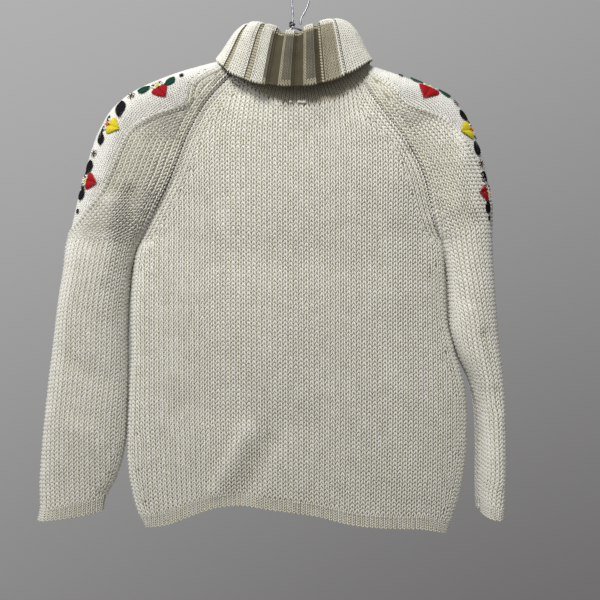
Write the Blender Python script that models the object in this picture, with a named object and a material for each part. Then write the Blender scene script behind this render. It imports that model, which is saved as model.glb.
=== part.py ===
"""Embroidered turtleneck sweater on a plain wire hanger, with its back to the viewer.

Blender 4.5, metres, +Z up. +X is to the right of the back view and +Y is towards the
garment's front. The origin is the inner top of the hanger's hook, where it hangs.
The sizes in the tables and constants are in millimetres.

A panel's level runs from 0 at the hem seam over 1 at the armpits to 2 at the neckline.
A sleeve's level runs from 0 at the cuff seam over 1 at the armpit to 2 at the neckline.
"""

import bpy
import numpy as np

MM = 0.001
BACK, FRONT = -1, 1
LEFT, RIGHT = -1, 1

# Cloth
PANEL_WALL = 3.0
STRIP_WALL = 2.4
BAND_WALL = 2.8
COLLAR_WALL = 3.0
SEAM = 0.3
HALF_RAGLAN_GAP = 0.25
NECK_SEAM_HEIGHT = 0.02
HALF_NOTCH_GAP = 0.3

# A section's depth follows the sine of its turn to this power: under 1 is boxier than an ellipse
BOX = 0.75
MOST_EDGE_SHARE = 0.97

# Hem, cuffs and the notches over the shoulders, as levels
HEM_BOTTOM = -0.047
CUFF_BOTTOM = -0.055
BAND_SEAM_LEVEL = 0.0009
NOTCH_LEVEL = 1.05
STRIP_TIP_LEVEL = 1.0515

# Neckline, where the panels end and the neck band starts
NECK_X = 1.0
NECK_HALF_WIDTH = 95.0
NECK_HALF_DEPTH = 38.0
NECK_BOX = 0.9
NECK_SIDE_Z = -131.2
NECK_TILT = 4.8
NECK_DROP_BACK = 70.0
NECK_DROP_FRONT = 85.0
NECK_DROP_POWER = 1.3
NECK_BLEND_LEVEL = 1.88
SAG_LEVEL = 1.45
BACK_SEAM_ANGLES = (203.0, 331.0)
FRONT_SEAM_ANGLES = (157.0, 29.0)
NECK_GAP_ANGLE = 0.2

# Collar: 16 wide ribs around, one groove at the centre back
COLLAR_RIBS = 16
COLUMNS_A_RIB = 4
RIB_HEIGHT = 2.2
RIB_LOW_COLUMNS = (0, 3)
LOOP_BOX = 0.8
LOOP_STEPS = 720

# Hanger
WIRE_RADIUS = 1.45
HOOK_RADIUS = 13.45
SHANK_X = -10.3
WIRE_GAP = 2.1
ARM_LEVELS = {LEFT: (1.97, 1.94, 1.91, 1.88, 1.85), RIGHT: (1.97, 1.94, 1.91, 1.88, 1.85, 1.82)}
ARM_START_X, ARM_START_Z = 22.0, -93.0
ARM_BEND_X, ARM_BEND_Z = 0.5, 0.47
BAND_HEIGHTS_OVER_ARM = (0.9, 0.45, 0.02)
HANGER_BAR_DROP = 17.0
HOOK_SPACING, TIP_SPACING, ARM_SPACING = 9.0, 5.0, 14.0
HALF_TURN_POINTS = 13
COIL_TURNS = 2
COIL_TURN_POINTS = 10
COIL_PITCH = 3.4
COIL_BOTTOM_Z = -84.0

KNIT_COLOUR = (0.84, 0.82, 0.72)
STRIP_COLOUR = (0.85, 0.84, 0.76)
STEEL_COLOUR = (0.42, 0.43, 0.46)


def table(columns, *rows):
    """A table with named columns, each an array."""
    return dict(zip(columns.split(), np.array(rows, float).T))


# Side edges of both panels, seen from behind: the side seams up to level 1, then the raglan seams
PANEL = table(
    "level left_x left_z right_x right_z edge_depth back front",
    (-0.047, -209.0, -762.0, 199.0, -769.0, 0, 26, 25),
    (0.00, -216.9, -745.3, 205.0, -751.0, 0, 27, 26),
    (0.10, -227.1, -709.9, 215.6, -712.6, 0, 29, 28),
    (0.21, -232.2, -671.8, 222.4, -671.8, 0, 31, 30),
    (0.36, -231.6, -613.4, 224.7, -613.4, 0, 33, 32),
    (0.49, -229.8, -568.5, 221.0, -568.5, 0, 34, 33),
    (0.61, -227.8, -525.0, 208.8, -525.0, 0, 35, 34),
    (0.73, -228.6, -482.8, 198.6, -482.8, 0, 36, 34),
    (0.86, -226.8, -436.6, 195.8, -434.0, 0, 36, 34),
    (1.00, -219.6, -383.5, 191.8, -376.7, 0, 36, 34),
    (1.05, -214.3, -373.3, 187.3, -366.6, 8, 36, 34),
    (1.10, -208.8, -363.2, 183.4, -356.5, 14, 36, 34),
    (1.25, -189.6, -329.5, 173.7, -328.2, 24, 36, 34),
    (1.40, -171.6, -296.5, 165.0, -295.8, 29, 36, 34),
    (1.52, -159.3, -267.2, 154.1, -269.8, 31, 36, 34),
    (1.64, -147.3, -237.2, 136.8, -241.1, 32, 36, 34),
    (1.76, -131.4, -207.2, 118.2, -217.7, 32, 36, 34),
    (1.88, -113.1, -181.9, 101.3, -195.1, 30, 36, 34),
    (2.00, -86.6, -150.4, 83.9, -169.1, 18, 38, 36),
)

# How far the hem rises above the straight line between its ends, across each panel
HEM_WAVE = {
    BACK: table(
        "across rise",
        (0.0, 0), (0.08, 8), (0.15, 20), (0.235, 33), (0.30, 37), (0.43, 32),
        (0.57, 25), (0.67, 15), (0.78, 10), (0.92, 7), (1.0, 0),
    ),
    FRONT: table(
        "across rise",
        (0.0, 0), (0.12, 12), (0.24, 26), (0.4, 28), (0.6, 19), (0.8, 9), (1.0, 0),
    ),
}
WAVE_END_LEVEL = 0.75
WAVE_POWER = 1.6

# Sleeves below the armpits: the inner edge by the body, the outer edge, and the half depths
SLEEVE = {
    LEFT: table(
        "level in_x in_z out_x out_z back front",
        (-0.055, -266.6, -739.8, -353.6, -753.4, 16, 15),
        (0.000, -262.5, -718.0, -350.9, -737.1, 17, 16),
        (0.085, -251.6, -696.3, -350.9, -701.0, 19, 18),
        (0.180, -242.1, -666.4, -348.8, -667.0, 22, 21),
        (0.375, -235.8, -598.4, -342.7, -599.7, 26, 25),
        (0.505, -234.8, -553.5, -337.3, -552.1, 28, 27),
        (0.670, -234.6, -495.0, -330.5, -497.7, 31, 30),
        (0.795, -233.2, -454.2, -325.0, -454.2, 34, 32),
        (0.930, -227.6, -407.6, -317.5, -410.7, 36, 34),
        (1.000, -219.6, -383.5, -314.8, -386.2, 36, 34),
    ),
    RIGHT: table(
        "level in_x in_z out_x out_z back front",
        (-0.055, 244.5, -741.0, 270.6, -741.0, 42, 41),
        (0.000, 243.5, -724.0, 271.5, -724.0, 43, 42),
        (0.080, 243.0, -697.0, 272.8, -697.0, 44, 43),
        (0.170, 243.4, -665.0, 273.4, -665.0, 45, 44),
        (0.305, 242.1, -618.8, 272.9, -618.8, 45, 44),
        (0.395, 238.0, -587.5, 272.0, -587.5, 45, 44),
        (0.475, 229.5, -558.9, 270.6, -558.9, 44, 43),
        (0.565, 214.5, -527.6, 267.9, -527.6, 43, 42),
        (0.650, 205.0, -497.0, 265.2, -499.0, 42, 41),
        (0.745, 202.6, -466.4, 262.5, -466.4, 41, 40),
        (0.845, 201.0, -431.0, 260.4, -431.0, 40, 39),
        (0.925, 197.6, -402.5, 258.4, -402.5, 39, 37),
        (1.000, 191.8, -376.7, 257.0, -372.6, 38, 36),
    ),
}

# Shoulders: the top line, the half depths, and how far the strip reaches down from the top
# line at the back and at the front, in degrees of the section's turn
SHOULDER = {
    LEFT: table(
        "level out_x out_z back front strip_back strip_front",
        (1.00, -314.8, -386.2, 36, 34, 5, 5),
        (1.05, -312.1, -374.0, 36, 34, 5, 5),
        (1.10, -308.7, -361.7, 36, 34, 28, 22),
        (1.25, -299.9, -322.3, 37, 35, 60, 45),
        (1.40, -289.7, -282.8, 37, 35, 65, 50),
        (1.52, -280.2, -250.2, 37, 35, 65, 54),
        (1.64, -267.9, -220.3, 36, 34, 69, 60),
        (1.70, -255.7, -199.9, 35.5, 34, 82, 70),
        (1.76, -235.3, -180.8, 35, 34, 97, 84),
        (1.88, -176.8, -153.0, 33, 32, 80, 74),
        (2.00, -93.8, -126.4, 30, 29, 60, 60),
    ),
    RIGHT: table(
        "level out_x out_z back front strip_back strip_front",
        (1.00, 257.0, -372.6, 38, 36, 5, 5),
        (1.05, 256.8, -360.4, 38, 36, 5, 5),
        (1.10, 256.4, -348.1, 38, 36, 9, 28),
        (1.25, 255.7, -318.2, 38, 36, 25, 62),
        (1.40, 252.3, -291.0, 38, 36, 40, 68),
        (1.52, 246.2, -261.1, 38, 36, 50, 68),
        (1.64, 233.9, -232.5, 37, 35, 55, 72),
        (1.70, 223.0, -208.0, 36, 34, 64, 84),
        (1.76, 208.1, -187.6, 35.5, 34, 81, 97),
        (1.88, 164.6, -164.5, 34, 33, 82, 80),
        (2.00, 96.6, -136.0, 30, 29, 60, 60),
    ),
}

# Soft folds: ends in the picture plane, half width, and height, below 0 for a trough
FOLD_COLUMNS = "x1 z1 x2 z2 width height"
PANEL_FOLDS = {
    BACK: table(
        FOLD_COLUMNS,
        (-112, -702, -70, -628, 15, 4.0),
        (-78, -712, -38, -640, 17, -3.0),
        (-150, -596, 10, -618, 26, -2.0),
        (-140, -392, 150, -402, 30, -2.2),
        (-60, -300, 70, -290, 60, 2.2),
        (120, -560, 165, -700, 30, 1.6),
        (-118, -330, -104, -560, 40, -3.0),
        (-50, -330, -36, -520, 40, 1.6),
        (120, -300, 128, -430, 30, 1.6),
    ),
    FRONT: table(
        FOLD_COLUMNS,
        (-120, -420, 130, -410, 34, -2.6),
        (90, -700, 50, -600, 20, 3.0),
        (-130, -690, -100, -560, 26, 2.4),
        (-50, -330, 60, -340, 55, 2.0),
    ),
}
SLEEVE_FOLDS = {
    LEFT: table(
        FOLD_COLUMNS,
        (-238, -212, -258, -290, 13, 3.0),
        (-262, -560, -318, -520, 16, -2.6),
        (-268, -640, -330, -610, 18, 2.0),
        (-250, -470, -276, -400, 14, 2.2),
    ),
    RIGHT: table(
        FOLD_COLUMNS,
        (214, -240, 228, -330, 12, 3.0),
        (222, -470, 246, -560, 10, 3.0),
        (238, -500, 258, -590, 8, -2.4),
        (246, -640, 262, -690, 9, 2.0),
    ),
}

# Collar, by the angle around the neck: 180 is the left side, 270 the centre back, 360 the right
RIM = table(
    "angle z",
    (180, -92), (200, -88), (215, -88), (230, -91), (245, -97), (256, -103), (270, -103.5),
    (280, -98), (292, -92), (305, -87.5), (320, -85.5), (337, -87), (360, -94),
    (405, -99), (450, -104), (495, -98), (540, -92),
)
FLAP_EDGE = table(
    "angle z",
    (180, -124), (200, -139), (215, -154), (230, -166), (245, -175), (260, -179),
    (270, -180), (285, -177), (300, -169), (315, -157), (330, -144), (345, -133),
    (360, -128.5), (405, -166), (450, -192), (495, -162), (540, -124),
)
STAND_FOOT = table(
    "angle z",
    (180, -112), (225, -143), (270, -171), (315, -150), (360, -120),
    (405, -153), (450, -186), (495, -146), (540, -112),
)
STAND_HALF_WIDTH, STAND_HALF_DEPTH = 72.0, 33.0

# Rows of the collar: loop sizes, how far from rim to edge or foot, and how far below the rim
COLLAR = table(
    "row centre_x half_width half_depth to_foot to_edge below",
    (0, 0.0, 69.0, 30.0, 1.00, 0.00, -0.9),
    (1, -1.0, 68.0, 30.0, 0.50, 0.00, 0.0),
    (2, -2.5, 67.5, 30.5, 0.00, 0.00, 7.0),
    (3, -3.0, 68.5, 31.5, 0.00, 0.00, 2.0),
    (4, -3.5, 72.0, 35.0, 0.00, 0.00, 0.0),
    (5, -4.0, 76.5, 39.0, 0.00, 0.00, 3.0),
    (6, -5.0, 82.5, 43.5, 0.00, 0.20, 0.0),
    (7, -6.0, 89.0, 48.0, 0.00, 0.45, 0.0),
    (8, -7.0, 96.0, 52.5, 0.00, 0.72, 0.0),
    (9, -8.0, 104.0, 57.0, 0.00, 1.00, 0.0),
)
RIB_SHARE = np.array([0.3, 0.5, 0.7, 0.8, 0.8, 0.9, 1, 1, 1, 1])

# The wire beside its arms: the hook's free end, the shank, where the coil starts, and the turn
# at an arm's tip, out from the arm's end and down to the bar
FREE_END = table(
    "x z",
    (0.8, -79), (1.1, -73), (3.6, -67), (7.6, -61), (10.9, -53), (13.2, -43), (13.9, -27),
    (HOOK_RADIUS, WIRE_RADIUS - HOOK_RADIUS),
)
SHANK = table("x z", (-12.6, -30), (-10.9, -48), (-10.3, -62), (-10.3, -85), (-12.8, -88))
COIL_START = 0.7, -87.0
TIP_TURN = table("out down", (5.6, 6), (7.5, 10), (4.5, 16), (-7.5, HANGER_BAR_DROP))

PANEL_LEVELS = (
    0, 0.09, 0.18, 0.27, 0.36, 0.46, 0.56, 0.66, 0.76, 0.86, 0.94,
    1, 1.05, 1.1, 1.175, 1.25, 1.325, 1.4, 1.52, 1.64, 1.7, 1.76, 1.82, 1.88, 1.94, 2,
)
SLEEVE_LEVELS = (0, 0.09, 0.18, 0.275, 0.375, 0.475, 0.565, 0.66, 0.75, 0.85, 0.93)
YOKE_LEVELS = tuple(level for level in PANEL_LEVELS if level >= 1)
BACK_COLUMNS, FRONT_COLUMNS = 22, 16
SLEEVE_HALF_COLUMNS, STRIP_COLUMNS = 7, 6


def smooth(knots, values, at):
    """The value at `at` of a smooth curve through (knots, values)."""
    at = np.clip(at, knots[0], knots[-1])
    i = np.clip(np.searchsorted(knots, at, side="right") - 1, 0, len(knots) - 2)
    slopes = np.gradient(values, knots)
    width = knots[i + 1] - knots[i]
    t = (at - knots[i]) / width
    start = values[i] * (2 * t**3 - 3 * t**2 + 1) + slopes[i] * width * (t**3 - 2 * t**2 + t)
    end = values[i + 1] * (3 * t**2 - 2 * t**3) + slopes[i + 1] * width * (t**3 - t**2)
    return start + end


def ramp(at, start, end):
    """0 before start, 1 after end, and smooth between them."""
    t = np.clip((at - start) / (end - start), 0, 1)
    return t * t * (3 - 2 * t)


def bulge(sine, power):
    return np.sign(sine) * np.abs(sine) ** power


def mix(a, b, share):
    return a + (b - a) * share


def fold_height(x, z, folds):
    """How far the soft folds lift the cloth at (x, z)."""
    total = np.zeros(np.broadcast(x, z).shape)
    for x1, z1, x2, z2, width, height in zip(*folds.values()):
        along = ((x - x1) * (x2 - x1) + (z - z1) * (z2 - z1)) / ((x2 - x1) ** 2 + (z2 - z1) ** 2)
        along = np.clip(along, 0, 1)
        squared = (x - mix(x1, x2, along)) ** 2 + (z - mix(z1, z2, along)) ** 2
        total = total + height * np.exp(-squared / width**2)
    return total


def neckline(degrees):
    """Points of the loop where the panels end, at these angles around the neck."""
    angle = np.radians(degrees)
    c, s = np.cos(angle), np.sin(angle)
    drop = np.where(s < 0, NECK_DROP_BACK, NECK_DROP_FRONT)
    return (
        NECK_X + NECK_HALF_WIDTH * c,
        NECK_HALF_DEPTH * bulge(s, NECK_BOX),
        NECK_SIDE_Z - NECK_TILT * c - drop * np.abs(s) ** NECK_DROP_POWER,
    )


def towards_neckline(x, y, z, degrees, level):
    """The last rows close in on the neckline, and the last one lies on it."""
    share = ramp(level, NECK_BLEND_LEVEL, 2)
    neck_x, neck_y, neck_z = neckline(degrees)
    return np.stack([mix(x, neck_x, share), mix(y, neck_y, share), mix(z, neck_z, share)], axis=-1)


def panel_degrees(side, across):
    """Angles around the neck where a panel's columns end."""
    first, last = BACK_SEAM_ANGLES if side == BACK else FRONT_SEAM_ANGLES
    gap = -side * NECK_GAP_ANGLE
    return mix(first + gap, last - gap, across)


def panel_point(side, across, level):
    """Outer points of a body panel, across from 0 at the left seam to 1 at the right one."""
    column = {name: smooth(PANEL["level"], values, level) for name, values in PANEL.items()}
    left_x = column["left_x"] + HALF_RAGLAN_GAP
    right_x = column["right_x"] - HALF_RAGLAN_GAP
    depth = column["back" if side == BACK else "front"]
    edge = np.clip(column["edge_depth"] / depth, 0, MOST_EDGE_SHARE) ** (1 / BOX)
    start = np.arcsin(edge)
    turn = start + (np.pi - 2 * start) * across
    x = (left_x + right_x) / 2 - (right_x - left_x) / 2 * np.cos(turn) / np.cos(start)
    share = (x - left_x) / (right_x - left_x)
    z = mix(column["left_z"], column["right_z"], share)
    wave = smooth(*HEM_WAVE[side].values(), share)
    z = z + wave * np.clip(1 - level / WAVE_END_LEVEL, 0, 1) ** WAVE_POWER
    degrees = panel_degrees(side, across)
    first, last = panel_degrees(side, 0), panel_degrees(side, 1)
    sag = neckline(degrees)[2] - mix(neckline(first)[2], neckline(last)[2], across)
    z = z + sag * ramp(level, SAG_LEVEL, 2)
    y = depth * bulge(np.sin(turn), BOX) + fold_height(x, z, PANEL_FOLDS[side]) * np.sin(turn)
    return towards_neckline(x, side * (y + SEAM / 2), z, degrees, level)


def sleeve_columns(side, level):
    """The sleeve's table columns at these levels, with the raglan seam above the armpit."""
    low, high = SLEEVE[side], SHOULDER[side]
    seam = "left" if side == LEFT else "right"
    yoke = {
        "in_x": smooth(PANEL["level"], PANEL[seam + "_x"], high["level"]),
        "in_z": smooth(PANEL["level"], PANEL[seam + "_z"], high["level"]),
    }
    levels = np.concatenate([low["level"][:-1], high["level"]])
    column = {}
    for name in ("in_x", "in_z", "out_x", "out_z", "back", "front"):
        values = np.concatenate([low[name][:-1], yoke.get(name, high.get(name))])
        column[name] = smooth(levels, values, level)
    above = level > 1
    for name, key in (("in_x", seam + "_x"), ("in_z", seam + "_z")):
        column[name] = np.where(above, smooth(PANEL["level"], PANEL[key], level), column[name])
    column["edge_depth"] = smooth(PANEL["level"], PANEL["edge_depth"], np.maximum(level, 1))
    return column


def sleeve_degrees(side, around):
    """Angles around the neck where a sleeve's and a strip's columns end."""
    top = 180.0 if side == LEFT else 360.0
    back_seam = BACK_SEAM_ANGLES[side > 0]
    front_seam = FRONT_SEAM_ANGLES[side > 0] + (360.0 if side == RIGHT else 0.0)
    reach = np.where(around > 0, front_seam - top, back_seam - top)
    return top + np.abs(around) * reach


def seam_turn(column, half):
    """The turn at which a sleeve's half section starts at its seam."""
    edge = np.clip(column["edge_depth"] / column[half], 0, MOST_EDGE_SHARE)
    return np.arcsin(edge ** (1 / BOX))


def sleeve_point(side, around, level):
    """Outer points of a sleeve: around is -1 at the back seam, 0 on the shoulder line and its
    continuation down the outer edge, and 1 at the front seam. Below the armpit it is closed."""
    column = sleeve_columns(side, level)
    front = around > 0
    start = np.where(front, seam_turn(column, "front"), seam_turn(column, "back"))
    depth = np.where(front, column["front"], column["back"])
    turn = np.pi - np.abs(around) * (np.pi - start)
    share = (np.cos(start) - np.cos(turn)) / (1 + np.cos(start))
    x = mix(column["in_x"] + side * HALF_RAGLAN_GAP, column["out_x"], share)
    z = mix(column["in_z"], column["out_z"], share)
    y = depth * bulge(np.sin(turn), BOX)
    y = y + fold_height(x, z, SLEEVE_FOLDS[side]) * np.sin(turn) ** 2
    return towards_neckline(x, np.where(front, y, -y), z, sleeve_degrees(side, around), level)


def strip_edge(side, half, level):
    """Where the strip ends, as a share of the way from the shoulder line to the seam."""
    high = SHOULDER[side]
    reach = smooth(high["level"], high["strip_" + half], np.maximum(level, 1))
    return reach / np.degrees(np.pi - seam_turn(sleeve_columns(side, level), half))


def loop_angles(count):
    """Angles around the neck at equal steps of a middle loop, from the centre back."""
    steps = np.radians(np.linspace(270, 630, LOOP_STEPS + 1))
    middle = COLLAR["half_width"][7], COLLAR["half_depth"][7]
    line = np.stack([middle[0] * np.cos(steps), middle[1] * bulge(np.sin(steps), LOOP_BOX)])
    length = np.concatenate([[0], np.cumsum(np.linalg.norm(np.diff(line), axis=0))])
    wanted = np.arange(count + 1) / count * length[-1]
    return np.degrees(np.interp(wanted, length, steps))


def by_angle(rows, degrees):
    """A collar table's z at these angles, the same after each full turn."""
    return smooth(rows["angle"], rows["z"], 180 + (degrees - 180) % 360)


def band_point(degrees, height):
    """Outer points of the neck band, from 0 at the neckline to 1 at the collar's foot."""
    angle = np.radians(degrees)
    x0, y0, z0 = neckline(degrees)
    x1 = STAND_HALF_WIDTH * np.cos(angle)
    y1 = STAND_HALF_DEPTH * bulge(np.sin(angle), LOOP_BOX)
    z1 = by_angle(STAND_FOOT, degrees)
    return np.stack([mix(x0, x1, height), mix(y0, y1, height), mix(z0, z1, height)], axis=-1)


def collar_point(degrees, row):
    """Points of the collar's shown side: up inside the neck, over the rim and down outside."""
    angle = np.radians(degrees)
    column = {name: smooth(COLLAR["row"], values, row) for name, values in COLLAR.items()}
    rim, foot, edge = (by_angle(rows, degrees) for rows in (RIM, STAND_FOOT, FLAP_EDGE))
    x = column["centre_x"] + column["half_width"] * np.cos(angle)
    y = column["half_depth"] * bulge(np.sin(angle), LOOP_BOX)
    z = rim + (foot - rim) * column["to_foot"] + (edge - rim) * column["to_edge"]
    return np.stack([x, y, z - column["below"]], axis=-1)


def normals(point, a, b, step_a, step_b):
    """Unit normals of point(a, b), on the side that a x b faces."""
    da = point(a + step_a, b) - point(a - step_a, b)
    db = point(a, b + step_b) - point(a, b - step_b)
    normal = np.cross(da, db)
    return normal / np.linalg.norm(normal, axis=-1, keepdims=True)


def quads_of(ids, keep, facing):
    """Quads over a grid of point numbers, where keep says that the cell has cloth."""
    corners = [ids[:-1, :-1], ids[:-1, 1:], ids[1:, 1:], ids[1:, :-1]]
    quads = np.stack(corners, axis=-1)[keep]
    return quads if facing > 0 else quads[:, ::-1]


def edge_wall(i, j, count, outer):
    """Two triangles that close the wall along an open edge, split the same way on both sides of
    a seam: from the lower outer point to the higher inner one."""
    if outer[i][2] < outer[j][2]:
        return [(j, i, j + count), (i, i + count, j + count)]
    return [(j, i, i + count), (j, i + count, j + count)]


def wall_mesh(name, outer, inner, ids, keep, facing):
    """A closed mesh between an outer and an inner grid, with walls along the open edges."""
    quads = quads_of(ids, keep, facing)
    count = len(outer)
    faces = [tuple(quad) for quad in quads] + [tuple(quad[::-1] + count) for quad in quads]
    directed = {(int(quad[k]), int(quad[k - 3])) for quad in quads for k in range(4)}
    for i, j in sorted(directed):
        if (j, i) not in directed:
            faces += edge_wall(i, j, count, outer)
    mesh = bpy.data.meshes.new(name)
    mesh.from_pydata((np.concatenate([outer, inner]) * MM).tolist(), [], faces)
    mesh.validate()
    mesh.shade_smooth()
    mesh.set_sharp_from_angle(angle=np.radians(50))
    return mesh


def neck_out(degrees):
    """The way out of the cloth along the neckline, which all the pieces that meet there share."""
    return normals(band_point, degrees, np.zeros(np.shape(degrees)), 0.1, 1e-3)


def cloth(name, point, a, b, facing, wall, finish, raised=0.0, keep=None, neck=None):
    """One knitted piece: a wall whose shown side is point(a, b), with `raised` on that side.
    Where neck gives the last row's angles around the neck, that row ends at the neckline."""
    shown = point(a, b)
    out = facing * normals(point, a, b, 1e-3, 1e-3)
    if neck is not None:
        out[-1] = neck_out(neck)
    if keep is None:
        keep = np.ones((a.shape[0] - 1, a.shape[1] - 1), bool)
    flat = np.round(shown.reshape(-1, 3), 3)
    _, first, ids = np.unique(flat, axis=0, return_index=True, return_inverse=True)
    outer = (shown + out * np.asarray(raised)[..., None]).reshape(-1, 3)[first]
    inner = (shown - out * wall).reshape(-1, 3)[first]
    ids = ids.reshape(a.shape)
    return add(name, wall_mesh(name, outer, inner, ids, keep, facing), finish)


def material(name, colour, roughness, metallic=0.0):
    made = bpy.data.materials.new(name)
    made.use_nodes = True
    shader = made.node_tree.nodes["Principled BSDF"]
    shader.inputs["Base Color"].default_value = (*colour, 1)
    shader.inputs["Roughness"].default_value = roughness
    shader.inputs["Metallic"].default_value = metallic
    return made


def add(name, data, finish):
    made = bpy.data.objects.new(name, data)
    data.materials.append(finish)
    bpy.data.collections["embroidered_sweater"].objects.link(made)
    return made


def grid(columns, levels):
    """Matching arrays of columns and levels, a row of the arrays for each level."""
    return np.meshgrid(np.asarray(columns, float), np.asarray(levels, float))


def make_panels(finish):
    for side, name, count in ((BACK, "back", BACK_COLUMNS), (FRONT, "front", FRONT_COLUMNS)):
        def point(across, level, side=side):
            return panel_point(side, across, level)

        across = np.linspace(0, 1, count + 1)
        neck = panel_degrees(side, across)
        cloth(name, point, *grid(across, PANEL_LEVELS), -side, PANEL_WALL, finish, neck=neck)
        hem_levels = (HEM_BOTTOM, -BAND_SEAM_LEVEL)
        cloth("hem_" + name, point, *grid(across, hem_levels), -side, BAND_WALL, finish)


def sleeve_around(side, levels, gap):
    """Columns of a sleeve for each level: the back part, then the front part past the strip."""
    rows = []
    for level in levels:
        at = np.array(level)
        room = []
        for sign, half in ((-1, "back"), (1, "front")):
            edge = sign * strip_edge(side, half, at)
            step = 1e-3
            reach = sleeve_point(side, edge + step, at) - sleeve_point(side, edge - step, at)
            room.append(edge + sign * gap * 2 * step / np.linalg.norm(reach))
        back = np.linspace(-1, room[0], SLEEVE_HALF_COLUMNS + 1)
        front = np.linspace(room[1], 1, SLEEVE_HALF_COLUMNS + 1)
        rows.append(np.concatenate([back, front]))
    return np.array(rows)


def strip_around(side, levels):
    """Columns of a strip for each level, between the two parts of the sleeve."""
    edges = sleeve_around(side, levels, -HALF_NOTCH_GAP)
    first, last = edges[:, SLEEVE_HALF_COLUMNS], edges[:, SLEEVE_HALF_COLUMNS + 1]
    return mix(first[:, None], last[:, None], np.linspace(0, 1, STRIP_COLUMNS + 1))


def make_sleeve(side, name, knit, fine):
    def point(around, level):
        return sleeve_point(side, around, level)

    levels = np.array(SLEEVE_LEVELS + YOKE_LEVELS)
    around = sleeve_around(side, levels, HALF_NOTCH_GAP)
    rows = np.broadcast_to(levels[:, None], around.shape)
    keep = np.ones((len(levels) - 1, around.shape[1] - 1), bool)
    keep[levels[1:] > NOTCH_LEVEL, SLEEVE_HALF_COLUMNS] = False
    neck = sleeve_degrees(side, around[-1])
    cloth("sleeve_" + name, point, around, rows, side, PANEL_WALL, knit, keep=keep, neck=neck)

    cuff_levels = np.array([CUFF_BOTTOM, -BAND_SEAM_LEVEL])
    around = sleeve_around(side, cuff_levels, 0.0)
    rows = np.broadcast_to(cuff_levels[:, None], around.shape)
    cloth("cuff_" + name, point, around, rows, side, BAND_WALL, knit)

    levels = np.array((STRIP_TIP_LEVEL,) + tuple(x for x in YOKE_LEVELS if x > NOTCH_LEVEL))
    around = strip_around(side, levels)
    rows = np.broadcast_to(levels[:, None], around.shape)
    neck = sleeve_degrees(side, around[-1])
    cloth("strip_" + name, point, around, rows, side, STRIP_WALL, fine, neck=neck)


def seam_angles():
    """Angles around the neck of every column that ends at the neckline, from the left back seam."""
    found = [panel_degrees(BACK, np.linspace(0, 1, BACK_COLUMNS + 1))]
    found.append(panel_degrees(FRONT, np.linspace(0, 1, FRONT_COLUMNS + 1)) % 360)
    for side in (LEFT, RIGHT):
        found.append(sleeve_degrees(side, sleeve_around(side, [2.0], HALF_NOTCH_GAP)[0]))
        found.append(sleeve_degrees(side, strip_around(side, [2.0])[0]))
    every = np.unique(np.round(np.concatenate(found) % 360, 1))
    first = BACK_SEAM_ANGLES[0]
    turned = np.sort((every - first) % 360) + first
    apart = np.concatenate([[True], np.diff(turned) > 2 * NECK_GAP_ANGLE])
    turned = turned[apart]
    return np.append(turned, turned[0] + 360)


def make_neck(knit):
    band = grid(seam_angles(), (NECK_SEAM_HEIGHT, 0.5, 1))
    cloth("neck_band", band_point, *band, 1, BAND_WALL, knit)
    degrees = loop_angles(COLLAR_RIBS * COLUMNS_A_RIB)
    low = np.isin(np.arange(len(degrees)) % COLUMNS_A_RIB, RIB_LOW_COLUMNS)
    raised = np.where(low, 0.0, RIB_HEIGHT) * RIB_SHARE[:, None]
    shown = grid(degrees, COLLAR["row"])
    cloth("collar", collar_point, *shown, -1, COLLAR_WALL, knit, raised=raised)


def under(point, a, b, facing, wall):
    """Where the wire's middle lies, just inside the cloth at point(a, b)."""
    a, b = np.array([a]), np.array([b])
    out = facing * normals(point, a, b, 1e-3, 1e-3)
    place = point(a, b) - out * (wall + WIRE_RADIUS + WIRE_GAP)
    return float(place[0, 0]), float(place[0, 2])


def hanger_arm(side):
    """Middle points of one arm, from the neck out to the tip, just under the shoulder."""
    degrees = 180.0 if side == LEFT else 360.0
    over = [under(band_point, degrees, height, 1, BAND_WALL) for height in BAND_HEIGHTS_OVER_ARM]
    start_x = side * ARM_START_X
    bend = mix(start_x, over[0][0], ARM_BEND_X), mix(ARM_START_Z, over[0][1], ARM_BEND_Z)
    arm = [(start_x, ARM_START_Z), bend] + over
    for level in ARM_LEVELS[side]:
        arm.append(under(lambda a, b: sleeve_point(side, a, b), 0.0, level, side, STRIP_WALL))
    return arm


def hanger_tip(side, arm):
    """The turn at an arm's end, down to the level of the bottom bar."""
    x, z = arm[-1]
    return [(x + side * out, z - down) for out, down in zip(*TIP_TURN.values())]


def rounded(points, spacing):
    """Points at about this spacing on a smooth curve through a list of points."""
    line = np.array(points, float)
    length = np.concatenate([[0], np.cumsum(np.linalg.norm(np.diff(line, axis=0), axis=1))])
    count = max(2, int(round(length[-1] / spacing)) + 1)
    wanted = np.linspace(0, length[-1], count)
    return np.stack([smooth(length, line[:, k], wanted) for k in range(2)], axis=-1)


def points_of(rows):
    return list(zip(*rows.values()))


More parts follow.
